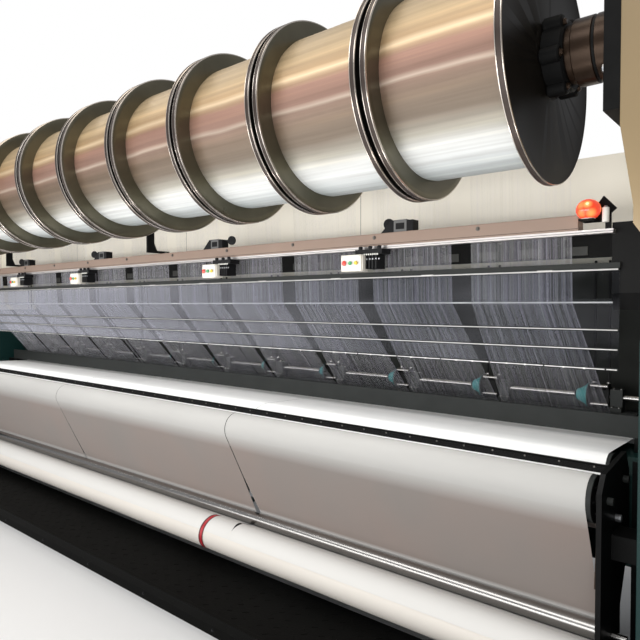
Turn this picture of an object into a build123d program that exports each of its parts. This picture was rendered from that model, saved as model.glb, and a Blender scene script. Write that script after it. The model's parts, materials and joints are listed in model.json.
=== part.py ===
from build123d import *
import os
from math import atan2, ceil, cos, hypot, pi, radians, sin, sqrt

os.makedirs("parts", exist_ok=True)

# Warp knitting machine. X runs along the machine, -Y is the operator's side, Z is up.
# The origin is on the floor, under the middle of the machine.

# Row of warp beams
beam_count = 11
beam_pitch = 513.1
flange_radius = 406.4
flange_thickness = 25
beam_spacing = 21.4
winding_depth = 73.4
barrel_radius = 120
coupling_radius = 44
beam_axis_z = 2360

# Ends of the machine
end_frame_width = 550
machine_depth = 2472.8
beam_end_gap = 283
cloth_end_gap = 200
end_cover_inset = 324.4
end_cover_height = 1500
stand_top_z = 2790
stand_depth = 400
stand_lean = 37

# Crossbeam, rail and bars in front of the knitting zone
panel_front_y = -162
panel_depth = 362
panel_bottom_z = 1750
panel_height = 428
rail_front_y = -562
rail_depth = 60
rail_height = 57
rail_top_z = 1880
bright_bar_height = 15
guard_back_y = -524
guard_bar_depth = 6
guard_sheet_thickness = 4
guard_top_z = 1683
guard_height = 372
guard_bar_height = 10
guard_count = 2
deflection_y = -442
deflection_z = 1562
deflection_radius = 12

# Knitting zone
needle_y = 5
needle_z = 1025
rocker_y = 20
rocker_z = 1138
rocker_radius = 14
sinker_bar_front_y = -112
sinker_bar_height = 92
sinker_bottom_z = 992
cloth_start_z = 968

# Take-down and cloth roll
cloth_thickness = 3
cloth_width = 5810
upper_roller_y = -392
upper_roller_z = 889
upper_roller_radius = 90
middle_roller_y = -500
middle_roller_z = 770
middle_roller_radius = 52
lower_roller_y = -614
lower_roller_z = 860
lower_roller_radius = 85
chrome_roller_y = -532
chrome_roller_z = 345
chrome_roller_radius = 36
cloth_roll_y = -672
cloth_roll_z = 263
cloth_roll_radius = 92
cloth_tube_radius = 45
web_gap = 5
slit_places = (-830, 1035)

# Base
platform_height = 120
platform_depth = 450
foot_height = 30
bed_front_y = -250
bed_depth = 700
bed_top_z = 930
bed_height = 430

# Operator boxes and buttons
box_width = 118
box_height = 78
box_depth = 60
button_travel = 4
box_places = (1826, 800, -740, -1766)
box_centre_z = 1745
sensor_places = (2035, 758, -490, -1690)

# Fits
running_gap = 0.05
sliding_gap = 0.5
seat_gap = 0.2

# Worked-out places
row_length = beam_pitch * beam_count
row_half = row_length / 2
winding_radius = flange_radius - winding_depth
winding_width = beam_pitch - beam_spacing - 2 * flange_thickness
frame_inner_x = max(row_half + beam_end_gap, cloth_width / 2 + cloth_end_gap)
machine_half = frame_inner_x + end_frame_width
front_y = -machine_depth / 2
beam_axis_y = front_y + flange_radius
rail_bottom_z = rail_top_z - rail_height
stand_front_y = beam_axis_y - stand_depth / 2 + 18
roller_half = cloth_width / 2 + 10
beam_cells = [(beam_index - (beam_count - 1) / 2) * beam_pitch for beam_index in range(beam_count)]
beam_gaps = [(gap_index - beam_count / 2) * beam_pitch for gap_index in range(beam_count + 1)]
post_gaps = [beam_gaps[6], beam_gaps[2]]
ends = (1, -1)


def along_x(start_x, y=0, z=0):
    """Plane square to the machine's length, its own x along Y and its own y along Z."""
    return Plane(origin=(start_x, y, z), x_dir=(0, 1, 0), z_dir=(1, 0, 0))


def keep(builder, name):
    """Label a finished piece and write it."""
    builder.part.label = name
    export_step(builder.part, f"parts/{name}.step")


def bar(name, y_from, y_to, z_from, z_to, half_length):
    """Straight bar of rectangular section, centred on the machine's middle."""
    with BuildPart() as piece:
        with BuildSketch(along_x(-half_length, (y_from + y_to) / 2, (z_from + z_to) / 2)):
            Rectangle(y_to - y_from, z_to - z_from)
        extrude(amount=2 * half_length)
    keep(piece, name)


def prism(name, outline, start_x, length):
    """Outline of (y, z) points carried along X."""
    with BuildPart() as piece:
        with BuildSketch(along_x(start_x)):
            with BuildLine():
                Polyline(*outline, close=True)
            make_face()
        extrude(amount=length)
    keep(piece, name)


# Warp beams: flanges, barrels with the couplings between them, and yarn.
# Repeated wheels have flat-sided rims.
with BuildPart() as beam_flanges:
    for cell_x in beam_cells:
        for side in (-1, 1):
            face_x = cell_x + side * (winding_width / 2 + flange_thickness / 2)
            with BuildSketch(along_x(face_x - flange_thickness / 2, beam_axis_y, beam_axis_z)):
                RegularPolygon(flange_radius, 36)
            extrude(amount=flange_thickness)
keep(beam_flanges, "beam_flanges")

with BuildPart() as beam_barrels:
    for cell_x in beam_cells:
        with BuildSketch(along_x(cell_x - winding_width / 2, beam_axis_y, beam_axis_z)):
            RegularPolygon(barrel_radius, 8)
        extrude(amount=winding_width)
    for gap_x in beam_gaps[1:-1]:
        with BuildSketch(along_x(gap_x - beam_spacing / 2, beam_axis_y, beam_axis_z)):
            RegularPolygon(coupling_radius, 8)
        extrude(amount=beam_spacing)
keep(beam_barrels, "beam_barrels")

with BuildPart() as yarn_windings:
    for cell_x in beam_cells:
        with BuildSketch(along_x(cell_x - winding_width / 2, beam_axis_y, beam_axis_z)):
            RegularPolygon(winding_radius, 32)
            RegularPolygon(barrel_radius, 8, mode=Mode.SUBTRACT)
        extrude(amount=winding_width)
keep(yarn_windings, "yarn_windings")

# Drive shafts at both ends, each turned with a lobed hub collar and a clamping ring
row_end_x = row_half - beam_spacing / 2
collar_thickness = 70
collar_radius = 112
collar_lobes = 6
lobe_radius = 26
ring_thickness = 20
ring_radius = 92
shaft_radius = 104
bearing_start_x = row_end_x + 205
bearing_thickness = 48
bearing_width = 2 * shaft_radius + 110
bearing_height = 2 * shaft_radius + 96
stand_inner_x = frame_inner_x - stand_lean
shaft_end_x = stand_inner_x - 2
with BuildPart() as drive_shafts:
    with BuildSketch(along_x(row_end_x, beam_axis_y, beam_axis_z)):
        RegularPolygon(collar_radius, 12)
        with PolarLocations(collar_radius, collar_lobes, start_angle=15):
            RegularPolygon(lobe_radius, 6)
    extrude(amount=collar_thickness)
    with BuildSketch(along_x(row_end_x + collar_thickness, beam_axis_y, beam_axis_z)):
        RegularPolygon(ring_radius, 12)
    extrude(amount=ring_thickness)
    with BuildSketch(along_x(row_end_x + collar_thickness + ring_thickness, beam_axis_y, beam_axis_z)):
        Circle(shaft_radius)
    extrude(amount=shaft_end_x - row_end_x - collar_thickness - ring_thickness)
    mirror(about=Plane.YZ)
keep(drive_shafts, "drive_shafts")

# Bearing blocks: a bored block on a foot that is bolted to the end stand
foot_drop = shaft_radius + 95
foot_height_z = 94
with BuildPart() as bearing_blocks:
    with BuildSketch(along_x(bearing_start_x, beam_axis_y, beam_axis_z)):
        Rectangle(bearing_width, bearing_height)
        Circle(shaft_radius + running_gap, mode=Mode.SUBTRACT)
    extrude(amount=bearing_thickness)
    with BuildSketch(along_x(bearing_start_x, beam_axis_y, beam_axis_z)):
        with Locations((0, -foot_drop)):
            Rectangle(bearing_width, foot_height_z)
    extrude(amount=stand_inner_x - bearing_start_x)
    mirror(about=Plane.YZ)
keep(bearing_blocks, "bearing_blocks")

# Hanger posts stand on the rail and carry the row between two beams
post_thickness = 14
shoe_thickness = 15
post_knee_y = -640
post_knee_z = 2040
with BuildPart() as hanger_posts:
    for gap_x in post_gaps:
        with BuildSketch(along_x(gap_x - post_thickness / 2)):
            with BuildLine():
                Polyline(
                    (beam_axis_y - 66, beam_axis_z + 60),
                    (beam_axis_y - 66, beam_axis_z - 40),
                    (post_knee_y - 25, post_knee_z),
                    (post_knee_y - 25, rail_top_z),
                    (rail_front_y + rail_depth, rail_top_z),
                    (rail_front_y + rail_depth, rail_top_z + shoe_thickness),
                    (post_knee_y + 45, rail_top_z + shoe_thickness),
                    (post_knee_y + 25, rail_top_z + 60),
                    (post_knee_y + 25, post_knee_z),
                    (beam_axis_y + 66, beam_axis_z - 40),
                    (beam_axis_y + 66, beam_axis_z + 60),
                    close=True,
                )
            make_face()
            with Locations((beam_axis_y, beam_axis_z)):
                Circle(coupling_radius + running_gap, mode=Mode.SUBTRACT)
        extrude(amount=post_thickness)
keep(hanger_posts, "hanger_posts")

# Closed end housings
cover_front_y = front_y + end_cover_inset
cover_back_y = machine_depth / 2
cover_chamfer = 60
with BuildPart() as end_housings:
    with BuildSketch(along_x(frame_inner_x)):
        with BuildLine():
            Polyline(
                (cover_front_y, 0),
                (cover_front_y, end_cover_height - cover_chamfer),
                (cover_front_y + cover_chamfer, end_cover_height),
                (cover_back_y - cover_chamfer, end_cover_height),
                (cover_back_y, end_cover_height - cover_chamfer),
                (cover_back_y, 0),
                close=True,
            )
        make_face()
    extrude(amount=end_frame_width)
    mirror(about=Plane.YZ)
keep(end_housings, "end_housings")

# End stands: stepped at the foot, leaning inwards to the beam bearings
stand_back_y = stand_front_y + stand_depth
stand_knee_z = beam_axis_z - 300
with BuildPart() as end_stands:
    with BuildSketch(Plane.XZ.offset(-stand_back_y)):
        with BuildLine():
            Polyline(
                (frame_inner_x + 60, end_cover_height),
                (frame_inner_x + 60, panel_bottom_z - 60),
                (frame_inner_x, panel_bottom_z + 30),
                (frame_inner_x, panel_bottom_z + 80),
                (stand_inner_x, stand_knee_z),
                (stand_inner_x, stand_top_z),
                (machine_half - 30, stand_top_z),
                (machine_half, stand_top_z - 60),
                (machine_half, end_cover_height),
                close=True,
            )
        make_face()
    extrude(amount=stand_depth)
    mirror(about=Plane.YZ)
keep(end_stands, "end_stands")

# Columns behind the stands carry the crossbeam
column_back_y = panel_front_y + panel_depth + 60
column_top_z = panel_bottom_z + panel_height + 40
with BuildPart() as end_columns:
    with BuildSketch(along_x(frame_inner_x)):
        with BuildLine():
            Polyline(
                (stand_back_y, end_cover_height),
                (stand_back_y, panel_bottom_z + 90),
                (panel_front_y - 40, column_top_z),
                (column_back_y, column_top_z),
                (column_back_y, end_cover_height),
                close=True,
            )
        make_face()
    extrude(amount=end_frame_width)
    mirror(about=Plane.YZ)
keep(end_columns, "end_columns")

# Black castings that tie the rail, the guard strip and the deflection bar to the columns
bracket_length = 173
with BuildPart() as end_brackets:
    with BuildSketch(along_x(frame_inner_x - bracket_length)):
        with BuildLine():
            Polyline(
                (guard_back_y, rail_top_z - 32),
                (guard_back_y, guard_top_z - 90),
                (guard_back_y + 30, deflection_z - 30),
                (deflection_y + 80, deflection_z - 30),
                (deflection_y + 80, rail_bottom_z - 60),
                (deflection_y + 20, rail_top_z - 32),
                close=True,
            )
        make_face()
        with Locations((deflection_y, deflection_z)):
            RegularPolygon(deflection_radius + seat_gap, 8, mode=Mode.SUBTRACT)
    extrude(amount=bracket_length)
    mirror(about=Plane.YZ)
keep(end_brackets, "end_brackets")

# Crossbeam: cream box girder with a folded lip along its top edge
lip = 24
prism(
    "crossbeam",
    [
        (panel_front_y, panel_bottom_z),
        (panel_front_y, panel_bottom_z + panel_height),
        (panel_front_y + lip, panel_bottom_z + panel_height),
        (panel_front_y + lip, panel_bottom_z + panel_height - lip),
        (panel_front_y + panel_depth, panel_bottom_z + panel_height - lip),
        (panel_front_y + panel_depth, panel_bottom_z),
    ],
    -frame_inner_x,
    2 * frame_inner_x,
)

# Rear cover between the bed and the crossbeam
cover_thickness = 16
bar(
    "rear_cover",
    panel_front_y + panel_depth - cover_thickness,
    panel_front_y + panel_depth,
    bed_top_z,
    panel_bottom_z,
    frame_inner_x,
)

# Rail and the bright bar under it
rail_half = row_half + 3
bright_half = frame_inner_x - 161
bar("front_rail", rail_front_y, rail_front_y + rail_depth, rail_bottom_z, rail_top_z, rail_half)
bar("bright_bar", rail_front_y + 2, guard_back_y, rail_bottom_z - bright_bar_height, rail_bottom_z, bright_half)

# Guards: a fixed dark strip, and clear sheets with bright bars hinged under it
guard_half = frame_inner_x - 142
guard_front_y = guard_back_y - guard_bar_depth - guard_sheet_thickness - 6
guard_hinge_gap = sliding_gap
guard_bar_drops = (0, 219, 290, guard_height - guard_bar_height)
bar("guard_strip", guard_front_y, guard_back_y, guard_top_z + guard_hinge_gap, guard_top_z + 20, guard_half)

guard_pitch = 2 * guard_half / guard_count
guard_width = guard_pitch - 6
for guard_index in range(guard_count):
    guard_start_x = -guard_half + guard_index * guard_pitch + 3
    with BuildPart() as guard_bars:
        for bar_drop in guard_bar_drops:
            bar_z = guard_top_z - bar_drop - guard_bar_height / 2
            with BuildSketch(along_x(guard_start_x, guard_front_y + guard_bar_depth / 2, bar_z)):
                Rectangle(guard_bar_depth, guard_bar_height)
            extrude(amount=guard_width)
    keep(guard_bars, f"guard_bars_{guard_index + 1}")

    with BuildPart() as guard_sheet:
        sheet_y = guard_front_y + guard_bar_depth + guard_sheet_thickness / 2
        with BuildSketch(along_x(guard_start_x, sheet_y, guard_top_z - guard_height / 2)):
            Rectangle(guard_sheet_thickness, guard_height)
        extrude(amount=guard_width)
    keep(guard_sheet, f"guard_sheet_{guard_index + 1}")

# Deflection bar behind the guards
deflection_half = frame_inner_x - 40
with BuildPart() as deflection_bar:
    with BuildSketch(along_x(-deflection_half, deflection_y, deflection_z)):
        RegularPolygon(deflection_radius, 8)
    extrude(amount=2 * deflection_half)
keep(deflection_bar, "deflection_bar")

# Warp sheets: each leaves the back of its winding, bends over the deflection bar
# and widens downwards until the sheets all but meet at the guides
sheet_thickness = 2
warp_wrap = radians(8)
warp_clearance = 3
guide_front_y = needle_y - 27
warp_slope = (deflection_z - needle_z) / (needle_y - deflection_y)
warp_bend = atan2(needle_y - deflection_y, deflection_z - needle_z) / 2
warp_reach = (deflection_radius + sheet_thickness + 1) / cos(warp_bend)
warp_bend_y = deflection_y - warp_reach * cos(warp_bend)
warp_bend_z = deflection_z - warp_reach * sin(warp_bend)
warp_top_y = beam_axis_y + (winding_radius + warp_clearance) * cos(warp_wrap)
warp_top_z = beam_axis_z + (winding_radius + warp_clearance) * sin(warp_wrap)
warp_end_y = guide_front_y - 10
warp_end_z = warp_bend_z - (warp_end_y - warp_bend_y) * warp_slope
yarn_top_width = winding_width - 30
yarn_bend_width = yarn_top_width + 12
yarn_end_width = beam_pitch - 8

sheet_lengths = (
    ((warp_top_y, warp_top_z, yarn_top_width), (warp_bend_y, warp_bend_z + sliding_gap, yarn_bend_width)),
    ((warp_bend_y, warp_bend_z - sliding_gap, yarn_bend_width), (warp_end_y, warp_end_z, yarn_end_width)),
)
with BuildPart() as warp_sheets:
    for cell_x in beam_cells:
        for (start_y, start_z, start_width), (end_y, end_z, end_width) in sheet_lengths:
            sheet_length = hypot(end_y - start_y, end_z - start_z)
            face_out = (0, end_z - start_z, start_y - end_y)
            with BuildSketch(Plane(origin=(cell_x, start_y, start_z), x_dir=(-1, 0, 0), z_dir=face_out)):
                with BuildLine():
                    Polyline(
                        (-start_width / 2, 0),
                        (start_width / 2, 0),
                        (end_width / 2, sheet_length),
                        (-end_width / 2, sheet_length),
                        close=True,
                    )
                make_face()
            extrude(amount=sheet_thickness / 2, both=True)
keep(warp_sheets, "warp_sheets")

# Rocker shaft with its clamps, cones and guide bars
rocker_half = frame_inner_x - 60
with BuildPart() as rocker_shaft:
    with BuildSketch(along_x(-rocker_half, rocker_y, rocker_z)):
        Circle(rocker_radius)
    extrude(amount=2 * rocker_half)
keep(rocker_shaft, "rocker_shaft")

guide_bar_thickness = 16
guide_bar_height = 22
guide_bar_gap = 8
guide_drop = 10
guide_eye_gap = 20
guide_bar_top_z = needle_z + guide_eye_gap + guide_drop + guide_bar_height
clamp_width = 50
clamp_start = -18
clamp_leg = 22
clamp_half = rocker_radius + seat_gap
clamp_base_z = guide_bar_top_z + sliding_gap
with BuildPart() as clamp_brackets:
    for gap_x in beam_gaps:
        with BuildSketch(along_x(gap_x + clamp_start)):
            with BuildLine():
                Polyline(
                    (guide_front_y, clamp_base_z),
                    (rocker_y + clamp_leg, clamp_base_z),
                    (rocker_y + clamp_leg, rocker_z + clamp_half),
                    (rocker_y + clamp_half, rocker_z + clamp_half),
                    (rocker_y + clamp_half, rocker_z - clamp_half),
                    (rocker_y - clamp_half, rocker_z - clamp_half),
                    (rocker_y - clamp_half, rocker_z + clamp_half),
                    (rocker_y - clamp_leg, rocker_z + clamp_half),
                    (rocker_y - clamp_leg, clamp_base_z + 18),
                    (guide_front_y, clamp_base_z + 18),
                    close=True,
                )
            make_face()
            with Locations((rocker_y, rocker_z + clamp_half + seat_gap + 11)):
                Rectangle(2 * clamp_leg, 22)
        extrude(amount=clamp_width)
keep(clamp_brackets, "clamp_brackets")

saddle_width = 76
saddle_start = clamp_start - 4 - saddle_width
cone_length = 62
cone_small_radius = 31
cone_large_radius = 58
cone_inset = (cone_large_radius - cone_small_radius) * cos(radians(22.5))
with BuildPart() as shaft_cones:
    for gap_x in beam_gaps:
        cone_start_x = gap_x + saddle_start - 4 - cone_length
        with BuildSketch(along_x(cone_start_x, rocker_y, rocker_z)):
            RegularPolygon(cone_large_radius, 8)
            RegularPolygon((rocker_radius + seat_gap) / cos(radians(22.5)), 8, mode=Mode.SUBTRACT)
        extrude(amount=cone_length)
        cone_end = shaft_cones.faces(Select.LAST).sort_by(Axis.X)[0]
        chamfer(cone_end.outer_wire().edges(), length=cone_inset, length2=cone_length - 2, reference=cone_end)
keep(shaft_cones, "shaft_cones")

for bar_index, bar_label in enumerate(("front", "middle", "back")):
    bar_y = guide_front_y + guide_bar_thickness / 2 + bar_index * (guide_bar_thickness + guide_bar_gap)
    with BuildPart() as guide_bar:
        with BuildSketch(along_x(-roller_half, bar_y, guide_bar_top_z - guide_bar_height / 2)):
            Rectangle(guide_bar_thickness, guide_bar_height)
            with Locations((0, -guide_bar_height / 2 - guide_drop / 2)):
                Rectangle(2, guide_drop)
        extrude(amount=2 * roller_half)
    keep(guide_bar, f"guide_bar_{bar_label}")

# Hangers: two thin rods and a saddle hold the rocker shaft under the crossbeam
saddle_half = rocker_radius + running_gap
rod_width = 9
rod_spacing = 60
with BuildPart() as shaft_hangers:
    for gap_x in beam_gaps:
        with BuildSketch(along_x(gap_x + saddle_start)):
            with BuildLine():
                Polyline(
                    (rocker_y - 25, rocker_z - saddle_half),
                    (rocker_y - 25, rocker_z + 32),
                    (rocker_y + 25, rocker_z + 32),
                    (rocker_y + 25, rocker_z - saddle_half),
                    (rocker_y + saddle_half, rocker_z - saddle_half),
                    (rocker_y + saddle_half, rocker_z + saddle_half),
                    (rocker_y - saddle_half, rocker_z + saddle_half),
                    (rocker_y - saddle_half, rocker_z - saddle_half),
                    close=True,
                )
            make_face()
            with Locations((rocker_y, rocker_z - saddle_half - seat_gap - 11)):
                Rectangle(50, 22)
        extrude(amount=saddle_width)
        rod_x = gap_x + saddle_start + saddle_width / 2
        with BuildSketch(Plane(origin=(rod_x, rocker_y, rocker_z + 32))):
            with GridLocations(rod_spacing, 1, 2, 1):
                Rectangle(rod_width, rod_width)
        extrude(amount=panel_bottom_z - rocker_z - 32)
keep(shaft_hangers, "shaft_hangers")

# Sinker bar in front of the needles, on a block at each end
sinker_back_y = needle_y - 25
sinker_half = roller_half + 60
prism(
    "sinker_bar",
    [
        (sinker_bar_front_y, sinker_bottom_z),
        (sinker_bar_front_y, sinker_bottom_z + sinker_bar_height),
        (sinker_bar_front_y + 12, sinker_bottom_z + sinker_bar_height),
        (sinker_back_y, needle_z - 11),
        (sinker_back_y, sinker_bottom_z),
    ],
    -sinker_half,
    2 * sinker_half,
)
# Needle bar with its row of needles, lifted behind the sinkers
needle_bar_thickness = 16
needle_bar_height = 62
needle_length = 18
with BuildPart() as needle_bar:
    with BuildSketch(along_x(-roller_half, needle_y, needle_z - needle_length - needle_bar_height / 2)):
        Rectangle(needle_bar_thickness, needle_bar_height)
        with Locations((0, (needle_bar_height + needle_length) / 2)):
            Rectangle(2, needle_length)
    extrude(amount=2 * roller_half)
keep(needle_bar, "needle_bar")

# Slideways on the bed: one under each end of the sinker bar, a row behind the needle bar
needle_guide_count = 6
needle_guide_step = 2 * roller_half / needle_guide_count
slide_length = frame_inner_x - roller_half - 10
slide_height = sinker_bottom_z - bed_top_z - sliding_gap
slide_x = roller_half + 10 + slide_length / 2
with BuildPart() as bar_guides:
    with Locations((0, (sinker_bar_front_y + sinker_back_y) / 2, bed_top_z + slide_height / 2)):
        with GridLocations(2 * slide_x, 1, 2, 1):
            Box(slide_length, 80, slide_height)
    with Locations((0, needle_y + needle_bar_thickness / 2 + sliding_gap + 24, bed_top_z + 55)):
        with GridLocations(needle_guide_step, 1, needle_guide_count, 1):
            Box(70, 48, 110)
keep(bar_guides, "bar_guides")

# Machine bed, its legs and the front platform
prism(
    "machine_bed",
    [
        (bed_front_y, bed_top_z - bed_height),
        (bed_front_y, bed_top_z - 60),
        (bed_front_y + 60, bed_top_z),
        (bed_front_y + bed_depth - 60, bed_top_z),
        (bed_front_y + bed_depth, bed_top_z - 60),
        (bed_front_y + bed_depth, bed_top_z - bed_height),
    ],
    -frame_inner_x,
    2 * frame_inner_x,
)
leg_count = 5
leg_step = 2 * frame_inner_x / leg_count
with BuildPart() as bed_legs:
    with BuildSketch(Plane.XY):
        with Locations((0, bed_front_y + bed_depth / 2)):
            with GridLocations(leg_step, 1, leg_count, 1):
                Rectangle(240, bed_depth - 100)
    extrude(amount=foot_height)
    with BuildSketch(Plane.XY.offset(foot_height)):
        with Locations((0, bed_front_y + bed_depth / 2)):
            with GridLocations(leg_step, 1, leg_count, 1):
                Rectangle(180, bed_depth - 160)
    extrude(amount=bed_top_z - bed_height - foot_height)
keep(bed_legs, "bed_legs")

platform_back_y = cloth_roll_y + 22
platform_front_y = platform_back_y - platform_depth
prism(
    "platform",
    [
        (platform_front_y + 30, 0),
        (platform_front_y + 30, platform_height - 45),
        (platform_front_y, platform_height - 45),
        (platform_front_y, platform_height),
        (platform_back_y, platform_height),
        (platform_back_y, 0),
    ],
    -frame_inner_x,
    2 * frame_inner_x,
)

# Take-down rollers. Ten-sided journals turn in the side plates.
side_plate_inner_x = roller_half + 17
side_plate_thickness = 18
journal_sides = 10
journal_radius = 14
journal_hole = (journal_radius + running_gap) / cos(pi / journal_sides)
roller_places = {
    "upper_roller": (upper_roller_y, upper_roller_z, upper_roller_radius),
    "middle_roller": (middle_roller_y, middle_roller_z, middle_roller_radius),
    "lower_roller": (lower_roller_y, lower_roller_z, lower_roller_radius),
    "chrome_roller": (chrome_roller_y, chrome_roller_z, chrome_roller_radius),
    "cloth_tube": (cloth_roll_y, cloth_roll_z, cloth_tube_radius),
}
hidden_rollers = ("middle_roller", "cloth_tube")
for roller_name, (roller_y, roller_z, roller_radius) in roller_places.items():
    journal_end_x = side_plate_inner_x + side_plate_thickness + 20
    with BuildPart() as roller:
        with BuildSketch(along_x(-roller_half, roller_y, roller_z)):
            if roller_name in hidden_rollers:
                RegularPolygon(roller_radius, 12)
            else:
                Circle(roller_radius)
        extrude(amount=2 * roller_half)
        with BuildSketch(along_x(roller_half, roller_y, roller_z)):
            RegularPolygon(journal_radius, journal_sides)
        extrude(amount=journal_end_x - roller_half)
        with BuildSketch(along_x(-journal_end_x, roller_y, roller_z)):
            RegularPolygon(journal_radius, journal_sides)
        extrude(amount=journal_end_x - roller_half)
    keep(roller, roller_name)

with BuildPart() as cloth_roll:
    with BuildSketch(along_x(-cloth_width / 2, cloth_roll_y, cloth_roll_z)):
        Circle(cloth_roll_radius)
        RegularPolygon(cloth_tube_radius, 12, mode=Mode.SUBTRACT)
    extrude(amount=cloth_width)
keep(cloth_roll, "cloth_roll")

plate_front_y = lower_roller_y - 76
with BuildPart() as side_plates:
    with BuildSketch(along_x(side_plate_inner_x)):
        with BuildLine():
            Polyline(
                (cloth_roll_y - 93, platform_height),
                (cloth_roll_y - 93, cloth_roll_z + 37),
                (plate_front_y, cloth_roll_z + 97),
                (plate_front_y, lower_roller_z + 40),
                (plate_front_y + 50, lower_roller_z + 100),
                (upper_roller_y + 40, upper_roller_z + 96),
                (upper_roller_y + 92, upper_roller_z + 10),
                (upper_roller_y + 92, upper_roller_z - 270),
                (chrome_roller_y + 112, chrome_roller_z + 75),
                (chrome_roller_y + 112, platform_height),
                close=True,
            )
        make_face()
        for roller_y, roller_z, roller_radius in roller_places.values():
            with Locations((roller_y, roller_z)):
                RegularPolygon(journal_hole, journal_sides, mode=Mode.SUBTRACT)
    extrude(amount=side_plate_thickness)
    with BuildSketch(along_x(side_plate_inner_x + side_plate_thickness)):
        with Locations((upper_roller_y - 108, upper_roller_z - 210), (chrome_roller_y + 60, 190)):
            Rectangle(120, 90)
    extrude(amount=frame_inner_x - side_plate_inner_x - side_plate_thickness)
    mirror(about=Plane.YZ)
keep(side_plates, "side_plates")

# Black grooved bar between the two visible rollers
strip_y = (upper_roller_y + lower_roller_y) / 2 - 59
strip_z = lower_roller_z + lower_roller_radius
prism(
    "grooved_bar",
    [
        (strip_y - 14, strip_z),
        (strip_y - 14, strip_z + 20),
        (strip_y - 5, strip_z + 20),
        (strip_y - 5, strip_z + 14),
        (strip_y + 5, strip_z + 14),
        (strip_y + 5, strip_z + 26),
        (strip_y + 14, strip_z + 26),
        (strip_y + 14, strip_z),
    ],
    -side_plate_inner_x,
    2 * side_plate_inner_x,
)


def tangent(start, start_radius, start_side, end, end_radius, end_side):
    """End points of the straight cloth between two rollers; a side is 1 where the
    roller lies to the right of the cloth's travel and -1 where it lies to the left."""
    run_y = end[0] - start[0]
    run_z = end[1] - start[1]
    run = hypot(run_y, run_z)
    along = (start_side * start_radius - end_side * end_radius) / run
    across = sqrt(1 - along * along)
    normal_y = (run_y * along - run_z * across) / run
    normal_z = (run_z * along + run_y * across) / run
    leave = (start[0] + start_side * start_radius * normal_y, start[1] + start_side * start_radius * normal_z)
    meet = (end[0] + end_side * end_radius * normal_y, end[1] + end_side * end_radius * normal_z)
    return leave, meet


def wrap(centre, radius, meet, leave, side):
    """Corner points of cloth drawn round a roller from one tangent point to the next."""
    first = atan2(meet[1] - centre[1], meet[0] - centre[0])
    last = atan2(leave[1] - centre[1], leave[0] - centre[0])
    turn = ((last - first) * -side) % (2 * pi)
    steps = max(1, ceil(turn / radians(40)))
    step = turn / steps
    corner_radius = radius / cos(step / 2)
    angles = [first - side * (index + 0.5) * step for index in range(steps)]
    return [(centre[0] + corner_radius * cos(angle), centre[1] + corner_radius * sin(angle)) for angle in angles]


# Cloth webs: from the needles over, under and over the rollers to the cloth roll
cloth_offset = cloth_thickness / 2 + sliding_gap
cloth_drop_y = needle_y - 13.5
cloth_turns = [
    ((upper_roller_y, upper_roller_z), upper_roller_radius + cloth_offset, -1),
    ((middle_roller_y, middle_roller_z), middle_roller_radius + cloth_offset, 1),
    ((lower_roller_y, lower_roller_z), lower_roller_radius + cloth_offset, -1),
    ((chrome_roller_y, chrome_roller_z), chrome_roller_radius + cloth_offset, 1),
    ((cloth_roll_y, cloth_roll_z), cloth_roll_radius + cloth_offset, -1),
]
cloth_path = [(cloth_drop_y, needle_z - 16), (cloth_drop_y, cloth_start_z)]
turn_start = ((cloth_drop_y, cloth_start_z), 0, -1)
meet_point = None
for turn_end in cloth_turns:
    leave_point, next_meet = tangent(*turn_start, *turn_end)
    if meet_point:
        cloth_path += wrap(turn_start[0], turn_start[1], meet_point, leave_point, turn_start[2])
    meet_point = next_meet
    turn_start = turn_end
roll_end = (cloth_roll_y - cloth_roll_radius, cloth_roll_z + cloth_roll_radius * 0.4)
cloth_path += wrap(turn_start[0], turn_start[1], meet_point, roll_end, turn_start[2])
web_starts = [-cloth_width / 2] + [slit_x + web_gap / 2 for slit_x in slit_places]
web_ends = [slit_x - web_gap / 2 for slit_x in slit_places] + [cloth_width / 2]
with BuildPart() as cloth_webs:
    for web_start_x, web_end_x in zip(web_starts, web_ends):
        with BuildSketch(along_x(web_start_x)):
            with BuildLine():
                Polyline(*cloth_path)
                offset(amount=cloth_thickness / 2, kind=Kind.INTERSECTION, side=Side.BOTH)
            make_face()
        extrude(amount=web_end_x - web_start_x)
keep(cloth_webs, "cloth_webs")

# Operator boxes hang in front of the rail, with a square well behind each button
box_front_y = rail_front_y - box_depth
button_step = 34
well_width = 10
well_depth = 18
box_buttons = (("red", -button_step, 12), ("green", 0, 9), ("yellow", button_step, 9))
with BuildPart() as operator_boxes:
    for box_x in box_places:
        with Locations((box_x, rail_front_y - box_depth / 2, box_centre_z)):
            Box(box_width, box_depth, box_height)
        with BuildSketch(Plane(origin=(box_x, box_front_y, box_centre_z), x_dir=(1, 0, 0), z_dir=(0, -1, 0))):
            with GridLocations(button_step, 1, 3, 1):
                Rectangle(well_width, well_width)
        extrude(amount=-well_depth, mode=Mode.SUBTRACT)
keep(operator_boxes, "operator_boxes")

for box_index, box_x in enumerate(box_places):
    for button_name, button_x, cap_radius in box_buttons:
        face = Plane(origin=(box_x + button_x, box_front_y, box_centre_z), x_dir=(1, 0, 0), z_dir=(0, -1, 0))
        with BuildPart() as button:
            with BuildSketch(face.offset(button_travel + 1)):
                RegularPolygon(cap_radius, 8)
            extrude(amount=7)
            with BuildSketch(face.offset(-well_depth + button_travel + 1)):
                Rectangle(well_width - 2 * sliding_gap, well_width - 2 * sliding_gap)
            extrude(amount=well_depth)
        keep(button, f"{button_name}_button_{box_index + 1}")

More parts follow.
